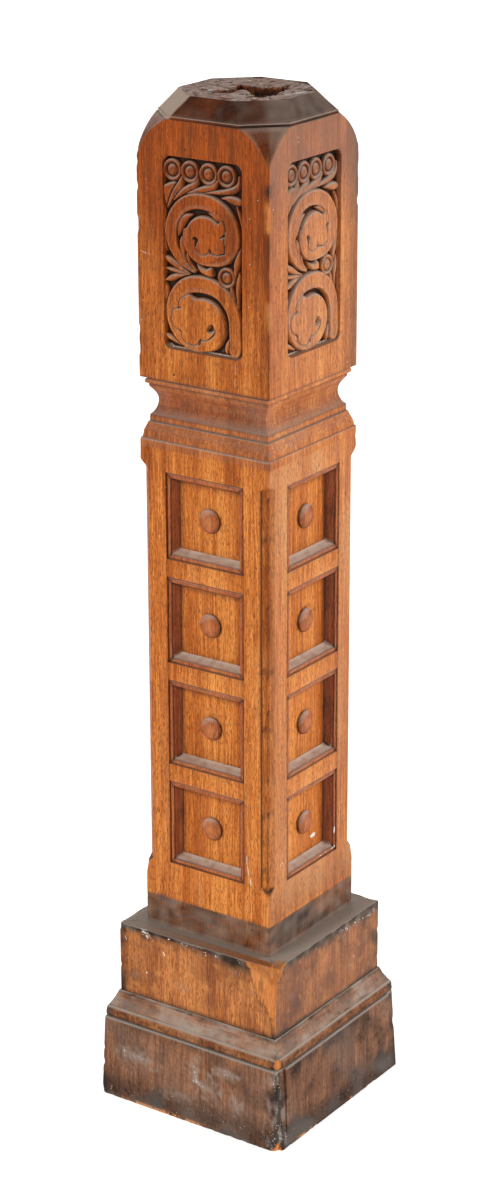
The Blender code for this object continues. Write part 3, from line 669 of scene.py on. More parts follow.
def sinkOpenings(bm):   # the channels of the coffers and the pockets of the carving
    for half, foot, head, depth in ((coffers["half"], coffers["foot"], cofferHead, coffers["depth"]),
                                    (block["half"], block["foot"], block["head"], block["pocket"])):
        for face in faces:
            back = turnTo(face).inverted()
            chosen = []
            for f in bm.faces:
                middle = back @ f.calc_center_median()
                if abs(middle.x) < half and foot < middle.z < head and middle.y < -baulk["skin"]:
                    chosen.append(f)
            made = bmesh.ops.extrude_face_region(bm, geom=chosen)
            inward = turnTo(face).to_3x3() @ Vector((0, depth, 0))
            bmesh.ops.translate(bm, vec=inward, verts=newVerts(made))
            bmesh.ops.delete(bm, geom=[f for f in chosen if f.is_valid], context="FACES")


def wearArrises(bm):
    v = baulk
    for vertex in bm.verts:
        x, y, z = vertex.co
        half = v["headHalf"] if z > v["headStart"] else v["neckArris"]
        share = arrisShare(vertex.co, v["shaftHalf"] if z < v["shaftEnd"] else half)
        if share > 0 and min(abs(x), abs(y)) > v["wearInside"] and z < v["wearTop"]:
            outward = Vector((math.copysign(1, x), math.copysign(1, y), 0))
            vertex.co -= outward * share * arrisWear(vertex.co)


def makeBaulk():
    rows = baulkRows()
    height, half, leg = rows[-1]
    half -= baulk["rimIn"]
    rows += [(height - baulk["rimDrop"], half, leg), (height - baulk["topSink"], half, leg)]
    rings = []
    for row in rows:
        quarter = quarterRow(*row)
        ring = [turnTo(face) @ point for face in faces for point in quarter]
        rings.append(ring + ring[:1])
    bm = weldedGrid(len(rings[0]) - 1, len(rings) - 1, lambda i, j: rings[j][i])
    closeHoles(bm)
    sinkOpenings(bm)
    wearArrises(bm)
    makePiece("newelPost", bm, postFinish, ["post"], paintBaulk)


makeBaulk()
print("baulk made")


# Carved panels, each a block let into the head

carving = {
    "half": 0.0510, "foot": 0.9150, "head": 1.1250, "corner": 0.0100, "depth": 0.0080,
    "cell": {"front": 0.0006, "side": 0.0006, "back": 0.0010, "far": 0.0010},
    "wall": 3.2,
    "roundelHeight": 1.1100, "roundelRadius": 0.0118,
    "roundels": {"front": (-0.0402, -0.0176, 0.0063, 0.0293),
                 "side": (-0.0400, -0.0165, 0.0060, 0.0310),
                 "back": (-0.0395, -0.0150, 0.0075, 0.0330), "far": (-0.0395, -0.0150, 0.0075, 0.0330)},
    # as (share of the radius, depth)
    "roundelProfile": ((0.0, 0.0030), (0.10, 0.0026), (0.24, 0.0020), (0.42, 0.0027),
                       (0.56, 0.0046), (0.64, 0.0047), (0.74, 0.0028), (0.84, 0.0021),
                       (0.94, 0.0026), (1.0, 0.0040)),
    "rosette": ((0.0290, 1.0020), 0.0112),
    "upperCentre": (0.0000, 1.0425), "lowerCentre": (-0.0010, 0.9565),
    # turn in degrees, outer radius and width of the band
    "upperTurn": ((252, 0.0420, 0.0030), (225, 0.0450, 0.0090), (180, 0.0495, 0.0150),
                  (135, 0.0490, 0.0160), (90, 0.0462, 0.0170), (45, 0.0470, 0.0180),
                  (0, 0.0470, 0.0200), (-35, 0.0405, 0.0170), (-65, 0.0330, 0.0135),
                  (-90, 0.0305, 0.0120), (-140, 0.0282, 0.0100), (-190, 0.0262, 0.0060)),
    "lowerTurn": ((-38, 0.0600, 0.0150), (-18, 0.0515, 0.0155), (0, 0.0490, 0.0160),
                  (45, 0.0452, 0.0170), (90, 0.0435, 0.0185), (135, 0.0470, 0.0180),
                  (180, 0.0485, 0.0200), (225, 0.0455, 0.0180), (270, 0.0392, 0.0130),
                  (315, 0.0340, 0.0115)),
    "scrollStep": 6.0,
    # sections of a band, a stem and a leaf rib, as (share of the half width, depth)
    "band": ((0.0, 0.0021), (0.45, 0.0019), (0.68, 0.0013), (0.83, 0.0010), (0.93, 0.0015),
             (1.0, 0.0036)),
    "stem": ((0.0, 0.0016), (0.35, 0.0018), (0.65, 0.0025), (0.85, 0.0034), (1.0, 0.0048)),
    "slender": (0.0040, 0.6),
    # section of a leaf as (gap inside its edge, depth)
    "leafEdge": ((0.0, 0.0042), (0.0006, 0.0028), (0.0013, 0.0017), (0.0024, 0.0012), (0.0060, 0.0017),
                 (0.0120, 0.0021)),
    "stems": (
        ((-0.0282, 1.1032, 0.0016), (-0.0297, 1.0957, 0.0046), (-0.0352, 1.0877, 0.0048),
         (-0.0422, 1.0782, 0.0030), (-0.0472, 1.0692, 0.0010)),
        ((-0.0072, 1.1042, 0.0016), (-0.0107, 1.0967, 0.0039), (-0.0202, 1.0917, 0.0042),
         (-0.0292, 1.0862, 0.0032), (-0.0392, 1.0777, 0.0010)),
        ((0.0183, 1.1042, 0.0016), (0.0123, 1.0972, 0.0039), (0.0018, 1.0937, 0.0040),
         (-0.0092, 1.0907, 0.0030), (-0.0212, 1.0870, 0.0010)),
        ((0.0453, 1.1112, 0.0016), (0.0450, 1.1032, 0.0030), (0.0388, 1.0970, 0.0039),
         (0.0268, 1.0935, 0.0034), (0.0128, 1.0914, 0.0023), (0.0008, 1.0894, 0.0008)),
    ),
    "leaves": (
        ((-0.0508, 1.0690, 0.0014), (-0.0506, 1.0500, 0.0024), (-0.0500, 1.0320, 0.0022),
         (-0.0490, 1.0220, 0.0010)),
        ((-0.0500, 0.9860, 0.0010), (-0.0492, 0.9770, 0.0036), (-0.0500, 0.9680, 0.0014)),
        ((0.0228, 1.0865, 0.0008), (0.0298, 1.0870, 0.0029), (0.0378, 1.0860, 0.0046),
         (0.0443, 1.0850, 0.0044), (0.0478, 1.0848, 0.0024)),
        ((0.0423, 1.0792, 0.0012), (0.0461, 1.0707, 0.0023), (0.0482, 1.0622, 0.0016),
         (0.0488, 1.0562, 0.0008)),
        ((-0.0147, 1.0648, 0.0010), (-0.0212, 1.0622, 0.0034), (-0.0268, 1.0567, 0.0046),
         (-0.0309, 1.0482, 0.0038), (-0.0333, 1.0402, 0.0010)),
        ((-0.0292, 1.0392, 0.0010), (-0.0286, 1.0342, 0.0036), (-0.0278, 1.0272, 0.0038),
         (-0.0261, 1.0192, 0.0029), (-0.0208, 1.0112, 0.0018), (-0.0122, 1.0042, 0.0008)),
        ((0.0058, 1.0686, 0.0006), (0.0120, 1.0670, 0.0024), (0.0180, 1.0638, 0.0030),
         (0.0240, 1.0606, 0.0010)),
        ((-0.0218, 1.0237, 0.0008), (-0.0212, 1.0177, 0.0025), (-0.0177, 1.0112, 0.0021),
         (-0.0102, 1.0047, 0.0009)),
        ((-0.0513, 1.0157, 0.0010), (-0.0467, 1.0132, 0.0033), (-0.0382, 1.0088, 0.0038),
         (-0.0282, 1.0038, 0.0025), (-0.0182, 1.0002, 0.0009)),
        ((-0.0512, 1.0030, 0.0008), (-0.0432, 1.0020, 0.0024), (-0.0312, 1.0006, 0.0024),
         (-0.0192, 0.9992, 0.0009)),
        ((-0.0512, 0.9897, 0.0010), (-0.0442, 0.9922, 0.0034), (-0.0352, 0.9958, 0.0032),
         (-0.0242, 0.9984, 0.0010)),
        ((0.0472, 1.0357, 0.0008), (0.0454, 1.0287, 0.0029), (0.0424, 1.0192, 0.0040),
         (0.0406, 1.0097, 0.0026), (0.0400, 1.0027, 0.0009)),
        ((0.0458, 1.0102, 0.0008), (0.0450, 1.0032, 0.0029), (0.0438, 0.9952, 0.0034),
         (0.0430, 0.9862, 0.0025), (0.0436, 0.9742, 0.0013), (0.0450, 0.9612, 0.0008)),
        ((0.0343, 0.9952, 0.0008), (0.0354, 0.9892, 0.0029), (0.0376, 0.9827, 0.0023),
         (0.0408, 0.9742, 0.0009)),
        ((-0.0513, 0.9307, 0.0010), (-0.0472, 0.9280, 0.0029), (-0.0402, 0.9250, 0.0025),
         (-0.0322, 0.9207, 0.0009)),
        ((0.0324, 0.9362, 0.0008), (0.0306, 0.9312, 0.0027), (0.0292, 0.9252, 0.0033),
         (0.0288, 0.9197, 0.0014)),
    ),
    "shapes": (
        ((-0.0513, 1.0927), (-0.0457, 1.0955), (-0.0377, 1.0978), (-0.0345, 1.0942),
         (-0.0377, 1.0867), (-0.0447, 1.0767), (-0.0475, 1.0707), (-0.0498, 1.0772),
         (-0.0513, 1.0852)),
        ((-0.0097, 1.0130), (-0.0042, 1.0102), (0.0023, 1.0085), (0.0073, 1.0105),
         (0.0108, 1.0095), (0.0120, 1.0047), (0.0108, 1.0005), (0.0028, 1.0010), (-0.0032, 1.0032),
         (-0.0072, 1.0072)),
    ),
    "upperLeafEdge": (
        ((0.0253, 1.0634), (0.0281, 1.0572), (0.0286, 1.0507), (0.0228, 1.0447)),
        ((0.0228, 1.0447), (0.0264, 1.0415), (0.0274, 1.0352), (0.0270, 1.0282)),
        ((0.0270, 1.0282), (0.0188, 1.0254), (0.0118, 1.0264), (0.0083, 1.0302)),
        ((0.0083, 1.0302), (0.0050, 1.0248), (-0.0012, 1.0228), (-0.0072, 1.0252),
         (-0.0112, 1.0302)),
    ),
    "lowerLeafEdge": (
        ((-0.0112, 0.9742), (-0.0157, 0.9756), (-0.0197, 0.9782), (-0.0252, 0.9757),
         (-0.0312, 0.9714)),
        ((-0.0312, 0.9714), (-0.0330, 0.9662), (-0.0322, 0.9610)),
        ((-0.0322, 0.9610), (-0.0382, 0.9602), (-0.0424, 0.9542), (-0.0424, 0.9457),
         (-0.0372, 0.9394), (-0.0307, 0.9370)),
        ((-0.0307, 0.9370), (-0.0292, 0.9302), (-0.0232, 0.9248), (-0.0162, 0.9228),
         (-0.0092, 0.9242), (-0.0052, 0.9302)),
        ((-0.0052, 0.9302), (0.0018, 0.9302), (0.0088, 0.9338), (0.0138, 0.9392), (0.0143, 0.9447)),
    ),
    # where the two large leaves run out on the rims of their discs
    "leafBacks": (((-0.0215, 1.0330), (-0.0232, 1.0394), (-0.0180, 1.0550), (-0.0070, 1.0620),
                   (0.0050, 1.0636), (0.0180, 1.0575)),
                  ((0.0265, 0.9420), (0.0268, 0.9500), (0.0215, 0.9635), (0.0100, 0.9722),
                   (-0.0010, 0.9743))),
    "leafFace": ((0.0, 0.0013), (1.0, 0.0013)),
    "nicks": (
        ((0.0283, 1.0475, 0.0006), (0.0253, 1.0458, 0.0015), (0.0218, 1.0442, 0.0005)),
        ((0.0090, 1.0257, 0.0009), (0.0086, 1.0282, 0.0011), (0.0078, 1.0312, 0.0004)),
        ((0.0118, 1.0260, 0.0005), (0.0188, 1.0254, 0.0009), (0.0273, 1.0280, 0.0007)),
        ((-0.0347, 0.9607, 0.0006), (-0.0327, 0.9617, 0.0015), (-0.0302, 0.9627, 0.0005)),
        ((-0.0322, 0.9378, 0.0006), (-0.0302, 0.9360, 0.0013), (-0.0287, 0.9332, 0.0006)),
        ((-0.0058, 0.9247, 0.0011), (-0.0052, 0.9282, 0.0013), (-0.0038, 0.9316, 0.0005)),
        ((0.0146, 0.9407, 0.0007), (0.0108, 0.9360, 0.0009), (0.0048, 0.9312, 0.0006)),
    ),
    "nickDepth": 0.0028, "outline": (0.0008, 0.0014),
    # discs that the scrolls end in, as (centre, radius), and their section
    "discs": (((0.0013, 1.0394), 0.0258), ((-0.0007, 0.9467), 0.0292)),
    "discProfile": ((0.0, 0.0019), (0.5, 0.0016), (0.84, 0.0011), (0.92, 0.0010), (0.97, 0.0017),
                    (1.0, 0.0036)),
    # eyes of the two large leaves, as (across, height, half width)
    "eyes": (((-0.0124, 1.0402, 0.0012), (-0.0100, 1.0386, 0.0030), (-0.0086, 1.0378, 0.0024)),
             ((-0.0100, 1.0375, 0.0020), (-0.0098, 1.0345, 0.0015), (-0.0100, 1.0312, 0.0007)),
             ((0.0070, 0.9420, 0.0032), (0.0088, 0.9438, 0.0046), (0.0098, 0.9462, 0.0034))),
    "eyeDepth": 0.0042,
    "tooling": 0.00030,
}


def scrollLine(centre, turn):
    rising = turn[-1][0] > turn[0][0]
    rows = [(row[0] if rising else -row[0], row[1], row[2]) for row in turn]
    steps = max(int((rows[-1][0] - rows[0][0]) / carving["scrollStep"]), 1)
    line = []
    for i in range(steps + 1):
        at = rows[0][0] + (rows[-1][0] - rows[0][0]) * i / steps
        radius, width = smoothValue(rows, at)
        angle = math.radians(at if rising else -at)
        middle = radius - width / 2
        line.append((centre[0] + middle * math.cos(angle), centre[1] + middle * math.sin(angle),
                     width / 2))
    return line


def stemLine(points, steps=10):
    rows = [(i, *point) for i, point in enumerate(points)]
    return [smoothValue(rows, (len(points) - 1) * i / steps) for i in range(steps + 1)]


class Relief:   # depth below the face over a grid of places
    def __init__(self, cell):
        self.columns = round(2 * block["half"] / cell)
        self.rows = round((block["head"] - block["foot"]) / cell)
        self.u = np.linspace(-block["half"], block["half"], self.columns + 1)
        self.z = np.linspace(block["foot"], block["head"], self.rows + 1)[:, None]
        self.cell = cell
        v = carving
        middle = (v["foot"] + v["head"]) / 2
        across = np.abs(self.u) - (v["half"] - v["corner"]) + 0 * self.z
        upright = np.abs(self.z - middle) - ((v["head"] - v["foot"]) / 2 - v["corner"]) + 0 * self.u
        out = np.hypot(np.maximum(across, 0), np.maximum(upright, 0))
        self.inside = v["corner"] - out - np.minimum(np.maximum(across, upright), 0)
        self.depth = np.clip((self.inside + 0.0002) * 9, 0, v["depth"])

    def window(self, u0, u1, z0, z1, reach):
        left = np.searchsorted(self.u, min(u0, u1) - reach)
        right = np.searchsorted(self.u, max(u0, u1) + reach)
        low = np.searchsorted(self.z[:, 0], min(z0, z1) - reach)
        high = np.searchsorted(self.z[:, 0], max(z0, z1) + reach)
        return slice(low, high), slice(left, right)

    def nearest(self, line, reach):   # a line's window, and the gap to it and its half width there
        across, upright, halves = zip(*line)
        window = self.window(min(across), max(across), min(upright), max(upright), max(halves) + reach)
        u, z = self.u[window[1]], self.z[window[0]]
        gap, half = np.full((z.size, u.size), 1.0), np.full((z.size, u.size), 0.001)
        for (u0, z0, h0), (u1, z1, h1) in zip(line, line[1:]):
            length = (u1 - u0) ** 2 + (z1 - z0) ** 2 + 1e-12
            share = np.clip(((u - u0) * (u1 - u0) + (z - z0) * (z1 - z0)) / length, 0, 1)
            here = np.hypot(u - u0 - (u1 - u0) * share, z - z0 - (z1 - z0) * share)
            wide = h0 + (h1 - h0) * share
            closer = here - wide < gap - half
            gap, half = np.where(closer, here, gap), np.where(closer, wide, half)
        return window, gap, half

    def lay(self, window, depth, covers):   # a shape over what is there, its wall falling away round it
        self.depth[window] = np.where(covers, depth, np.minimum(self.depth[window], depth))

    def raiseStroke(self, line, profile):
        window, gap, half = self.nearest(line, 0.004)
        shares, depths = zip(*profile)
        narrow, much = carving["slender"]
        sink = (depths[-1] - depths[0]) * (1 - np.minimum(half / narrow, 1)) * much
        depth = np.interp(gap / half, shares, depths) + sink
        depth += np.maximum(gap - half, 0) * carving["wall"]
        self.lay(window, depth, gap < half)

    def raiseRound(self, centre, radius, profile, over=True):
        window = self.window(centre[0], centre[0], centre[1], centre[1], radius + 0.004)
        gap = np.hypot(self.u[window[1]] - centre[0], self.z[window[0]] - centre[1])
        shares, depths = zip(*profile)
        depth = np.interp(gap / radius, shares, depths) + np.maximum(gap - radius, 0) * carving["wall"]
        self.lay(window, depth, (gap < radius) & over)

    def raiseOutline(self, line, profile, over=True):
        window, gap, _ = self.nearest([(u, z, 0.0) for u, z in line + line[:1]], 0.004)
        u, z = self.u[window[1]], self.z[window[0]]
        inside = np.zeros(gap.shape, bool)
        for (u0, z0), (u1, z1) in zip(line, line[1:] + line[:1]):
            crosses = (z0 > z) != (z1 > z)
            inside ^= crosses & (u < u0 + (u1 - u0) * (z - z0) / (z1 - z0 if z1 != z0 else 1.0))
        gaps, depths = zip(*profile)
        depth = np.where(inside, np.interp(gap, gaps, depths), depths[0] + gap * carving["wall"])
        self.lay(window, depth, inside & over)

    def sink(self, line, deep):
        window, gap, half = self.nearest(line, 0.001)
        self.depth[window] = np.maximum(self.depth[window], self.base[window]
                                        + deep * np.clip(1 - (gap / half) ** 2, 0, 1))


def blurred(values, reach):   # box blur by running sums, twice
    for axis in (0, 1, 0, 1):
        padding = [(reach + 1, reach) if a == axis else (0, 0) for a in (0, 1)]
        sums = np.cumsum(np.pad(values, padding, mode="edge"), axis=axis)
        width = 2 * reach + 1
        high = np.take(sums, range(width, sums.shape[axis]), axis=axis)
        low = np.take(sums, range(0, sums.shape[axis] - width), axis=axis)
        values = (high - low) / width
    return values


def carveRelief(face):
    v = carving
    relief = Relief(v["cell"][face])
    for leaf in v["leaves"]:
        relief.raiseStroke(stemLine(leaf), v["stem"])
    for shape in v["shapes"]:
        relief.raiseOutline(stemLine(shape + shape[:1], 6 * len(shape)), v["leafEdge"])
    for stem in v["stems"]:
        relief.raiseStroke(stemLine(stem, 16), v["stem"])
    relief.raiseStroke(scrollLine(v["upperCentre"], v["upperTurn"]), v["band"])
    relief.raiseStroke(scrollLine(v["lowerCentre"], v["lowerTurn"]), v["band"])
    for centre, radius in v["discs"]:
        relief.raiseRound(centre, radius, v["discProfile"], over=False)
    outlines = [stemLine(arc, 14) for edge in (v["upperLeafEdge"], v["lowerLeafEdge"]) for arc in edge]
    for edge, rim in zip((v["upperLeafEdge"], v["lowerLeafEdge"]), v["leafBacks"]):
        line = [place for arc in edge for place in stemLine(arc, 14)[:-1]]
        relief.raiseOutline(line + [edge[-1][-1]] + list(rim), v["leafFace"], over=False)
    for place in v["roundels"][face]:
        relief.raiseRound((place, v["roundelHeight"]), v["roundelRadius"], v["roundelProfile"])
    relief.raiseRound(*v["rosette"], v["roundelProfile"])
    relief.base = relief.depth.copy()
    for line in outlines:
        relief.sink([(u, z, v["outline"][0]) for u, z in line], v["outline"][1])
    for nick in v["nicks"]:
        relief.sink(stemLine(nick), v["nickDepth"])
    for eye in v["eyes"]:
        relief.sink(stemLine(eye), v["eyeDepth"])
    relief.depth = np.minimum(relief.depth, np.clip((relief.inside + 0.0003) * 9, 0, 0.0110))
    scatter = np.random.default_rng(41 + faces.index(face)).normal(0, 1, relief.depth.shape)
    tooled = blurred(scatter, max(round(0.0012 / relief.cell), 1))
    relief.depth = relief.depth + tooled * v["tooling"] * np.clip(relief.depth / 0.0020, 0, 1)
    relief.depth = np.where(relief.inside < -0.0012, 0, relief.depth)
    return relief


def reliefCoats(relief, face):   # painted shade and dirt in the hollows, painted shade on slopes facing down and right, dust and a painted highlight on what looks up and to the left, wear on what stands out
    depth, inside = relief.depth, relief.inside
    reach = round(0.0030 / relief.cell)
    wide, tight = blurred(depth, reach), blurred(depth, max(reach // 3, 1))
    dusky = 0.72 if face in ("side", "far") else 1.0     # the side panels get less dirt and painted shade, and more dust and painted sheen
    fall, slant = np.gradient(depth, relief.cell)
    # tilt is how far a slope looks up and to the left, which gets a painted highlight, or down and to
    # the right, which gets painted shade
    tilt = np.clip(fall - 0.6 * slant, -1.5, 1.5) * np.clip((0.0042 - depth) / 0.001, 0, 1)
    under = np.clip((depth - wide) / 0.0022, 0, 1) + np.clip((depth - tight) / 0.0010, 0, 1)
    # painted shadow in the gap along the right wall of the pocket
    rightGapShadow = np.clip((0.0024 - inside) / 0.0010, 0, 1) * (relief.u > 0.04) * (relief.z > 0.93)
    grime = under * 0.70 + np.clip((depth - 0.0036) / 0.0030, 0, 1) * 0.62 - 0.35 * tilt.clip(-1, 0)
    grime = np.clip(grime * dusky + 0.8 * rightGapShadow, 0, 1)
    dust = 0.90 * blurred((tilt - 0.15).clip(0, 1), 1) + 0.5 * (1 - dusky)
    dust -= 0.6 * np.clip((depth - 0.0032) / 0.0016, 0, 1)
    worn = np.clip((wide - depth - 0.0004) / 0.0022, 0, 1) * 0.14
    return grime, dust, worn


def paintCarving(point, inside, grime, dust, worn):
    if inside < 0.0004:
        return paintBaulk(point)
    spot = Spot(point)
    above = softStep(1.088, 1.100, spot.z)               # round the roundels
    ledge = softStep(0.0026, 0.0016, inside) * softStep(0.9205, 0.9185, spot.z)
    spot.grime = (grime + 0.16 * above) * (1 - 0.8 * ledge)
    # dust and pale specks on the ledge at the panel's foot, painted paler also as top light, and a
    # little painted sheen on the side panels
    spot.dust = dust + 1.5 * ledge + 0.06 * spot.sideways
    spot.worn, spot.paint = worn, 0.62 * ledge
    spot.tone = headPaintedShade(point) - 0.25 * above
    return spot.coat()


def makeCarving(face):
    relief = carveRelief(face)
    bm = bmesh.new()
    bmesh.ops.create_grid(bm, x_segments=relief.columns, y_segments=relief.rows, size=1.0)
    bm.verts.ensure_lookup_table()
    said = reliefCoats(relief, face)
    layers = [bm.verts.layers.float.new(coat) for coat in coats]
    turn = turnTo(face)
    for i, vertex in enumerate(bm.verts):
        row, column = divmod(i, relief.columns + 1)
        vertex.co = turn @ Vector((relief.u[column], relief.depth[row, column] - baulk["headHalf"],
                                   relief.z[row, 0]))
        coat = paintCarving(vertex.co, relief.inside[row, column],
                            *(values[row, column] for values in said))
        for layer, value in zip(layers, coat):
            vertex[layer] = value
    inward = turn.to_3x3() @ Vector((0, block["depth"], 0))
    bmesh.ops.translate(bm, vec=inward,
                        verts=newVerts(bmesh.ops.extrude_edge_only(bm, edges=openEdges(bm))))
    closeHoles(bm)
    makePiece("carvedPanel" + face.capitalize(), bm, postFinish, ["post"], sharp=60)


for face in faces:
    makeCarving(face)
print("carved panels made")


# Rails, frames and buttons of the coffers

def uprightToFace(bm, face, half):   # from lying flat, with +Z outwards, to standing on a face
    stand = Matrix.Translation((0, -half, 0)) @ Matrix.Rotation(math.radians(90), 4, "X")
    bmesh.ops.transform(bm, matrix=turnTo(face) @ stand, verts=bm.verts)


def paintRail(point):
    spot = Spot(point)
    spot.grime = 0.34 * softStep(0.0035, 0.0, coffers["half"] - spot.other)
    # side rails painted lighter, as light falling on the side faces
    spot.tone = 0.10 + 0.22 * spot.sideways + 0.4 * spot.cloud(0.03, 14.0)
    return spot.coat()


def makeRail(face, number, foot):
    half = coffers["half"] - coffers["gap"] * 0.5
    deep = coffers["depth"] - coffers["gap"]
    bm = bmesh.new()
    bmesh.ops.create_cube(bm, size=1.0)
    bmesh.ops.scale(bm, vec=(2 * half, coffers["rail"], deep), verts=bm.verts)
    bmesh.ops.translate(bm, vec=(0, foot - coffers["rail"] / 2, -deep / 2), verts=bm.verts)
    bmesh.ops.bevel(bm, geom=bm.edges[:], offset=0.0005, segments=2, profile=0.5, affect="EDGES",
                    material=-1)
    long = [e for e in bm.edges if abs(e.verts[0].co.x - e.verts[1].co.x) > 0.05]
    bmesh.ops.subdivide_edges(bm, edges=long, cuts=24, use_grid_fill=True)
    for vertex in bm.verts:
        x, y, z = vertex.co
        if z > -0.0008:
            vertex.co.z -= 0.0001 + 0.00012 * cloud((x, y, number), 0.02, faces.index(face))
    uprightToFace(bm, face, baulk["shaftHalf"])
    makePiece(f"cofferRail{face.capitalize()}{number}", bm, postFinish, [f"rail_{face}_{number}"],
              paintRail)


def makeFrame(face, number, foot, height):
    v = coffers
    bm = bmesh.new()
    bmesh.ops.create_grid(bm, x_segments=1, y_segments=1, size=0.5)
    wide, tall = 2 * (v["half"] - v["quirk"]), height - 2 * v["quirk"]
    bmesh.ops.scale(bm, vec=(wide, tall, 1), verts=bm.verts)
    bmesh.ops.translate(bm, vec=(0, foot + height / 2, -v["profile"][0][1]), verts=bm.verts)
    middle = bm.faces[:]
    for (inset, depth), (nextInset, nextDepth) in zip(v["profile"], v["profile"][1:]):
        bmesh.ops.inset_region(bm, faces=middle, thickness=nextInset - inset, depth=depth - nextDepth,
                               use_even_offset=True, use_boundary=True)
    bmesh.ops.delete(bm, geom=middle, context="FACES_ONLY")
    bmesh.ops.bridge_loops(bm, edges=openEdges(bm))
    sides = [e for e in bm.edges if abs(e.verts[0].co.x - e.verts[1].co.x) < 1e-5
             or abs(e.verts[0].co.y - e.verts[1].co.y) < 1e-5]
    sides = [e for e in sides if e.calc_length() > 0.05]
    bmesh.ops.subdivide_edges(bm, edges=sides, cuts=v["lengthSteps"], use_grid_fill=True)
    seed = faces.index(face) * 7.0 + number
    for vertex in bm.verts:
        x, y, z = vertex.co
        if z > -0.0110:
            vertex.co.z += 0.00022 * cloud((x, y, seed), 0.018, seed)
            vertex.co.z -= 0.0006 * softStep(0.30, 0.62, cloud((x, y, seed), 0.007, seed + 3))
    centre = foot + height / 2

    def paintFrame(point):
        spot = Spot(turnTo(face).inverted() @ point)
        depth = spot.y + baulk["shaftHalf"]
        across, upright = abs(spot.x) - wide / 2, abs(spot.z - centre) - tall / 2
        inset = -max(across, upright)
        patch = cloud(point, 0.022, seed)
        # dark lines along the mitres and at the foot of the bead; painted shade down in the outer quirk
        # and in the corner where the slope meets the coffer floor
        spot.grime = 0.75 * near(across, upright, 0.0011, 0.0002) + 0.70 * near(inset, 0.0050, 0.0006)
        spot.grime += 0.95 * softStep(0.0024, 0.0042, depth) * softStep(0.0010, 0.0, inset)
        spot.grime += 0.75 * softStep(0.0094, 0.0117, depth) * softStep(0.006, 0.009, inset)
        spot.grime += 0.25 * softStep(0.0, 0.5, patch)
        if across > upright and spot.x < 0:           # upright strip that faces the light least
            spot.tone -= 0.12
        if upright > across and spot.z < centre:      # foot of the coffer, where dust lies
            slope = softStep(0.0052, 0.0064, inset)
            spot.dust += slope * (0.62 + 0.7 * cloud(point, 0.008, seed + 9))
            spot.dust += 0.9 * softStep(0.0004, 0.0001, inset) * softStep(0.0012, 0.0020, depth)
            spot.grime *= 1 - 0.7 * slope
        # top strip, which faces down, painted darker as shade
        if upright > across and spot.z > centre:
            spot.tone -= 0.10
        # wear and a painted highlight along the crest of the bead
        spot.worn = 0.45 * near(inset, 0.0032, 0.0016) * softStep(-0.1, 0.5, patch)
        return spot.coat()

    uprightToFace(bm, face, baulk["shaftHalf"])
    makePiece(f"cofferFrame{face.capitalize()}{number}", bm, trimFinish,
              [f"coffer_frame_{face}_{number}"], paintFrame, sharp=30)


button = {
    # as (radius, height over the floor)
    "profile": ((0.0, 0.0062), (0.0035, 0.0061), (0.0070, 0.0057), (0.0100, 0.0050), (0.0120, 0.0041),
                (0.0133, 0.0031), (0.0139, 0.0022), (0.0140, 0.0014), (0.0137, 0.0006),
                (0.0136, 0.0003), (0.0, 0.0003)),
    "sides": 40,
}


def makeButton(face, number, middle):
    bm = bmesh.new()
    line = [bm.verts.new((radius, 0, rise)) for radius, rise in button["profile"]]
    edges = [bm.edges.new(pair) for pair in zip(line, line[1:])]
    bmesh.ops.spin(bm, geom=line + edges, cent=(0, 0, 0), axis=(0, 0, 1), dvec=(0, 0, 0),
                   angle=math.tau, steps=button["sides"], use_merge=True, use_duplicate=False)
    bmesh.ops.remove_doubles(bm, verts=bm.verts, dist=0.00002)
    bmesh.ops.translate(bm, vec=(0, middle, -coffers["depth"]), verts=bm.verts)
    seed = faces.index(face) * 5.0 + number

    def paintButton(point):
        x, y, z = turnTo(face).inverted() @ point
        reach = math.hypot(x, z - middle)
        rise = coffers["depth"] - baulk["shaftHalf"] - y
        lit = z - middle - x * 0.6                    # how far up and to the left of the middle
        # painted shade where the button meets the floor and a painted shadow along its lower right rim,
        # with some dirt; dust and a painted highlight on its upper left; a painted sheen on its crown
        rim = softStep(0.0032, 0.0016, rise)
        rim += 0.5 * softStep(-0.004, -0.012, lit) * softStep(0.009, 0.013, reach)
        return (0.85 * rim + 0.2 * softStep(0.1, 0.6, cloud(point, 0.006, seed)),
                0.34 * softStep(0.0040, 0.0120, lit) - 0.10, 0.25 * softStep(0.010, 0.0, reach))

    uprightToFace(bm, face, baulk["shaftHalf"])
    makePiece(f"cofferButton{face.capitalize()}{number}", bm, trimFinish,
              [f"coffer_button_{face}_{number}"], paintButton)


for face in faces:
    for number, (foot, height) in enumerate(cofferPlaces(), start=1):
        makeFrame(face, number, foot, height)
        makeButton(face, number, foot + height / 2)
        if number > 1:
            makeRail(face, number - 1, foot)
print("coffers made")


# Plinth boards, base moulding and skirting: upright rings of points, closed above and below

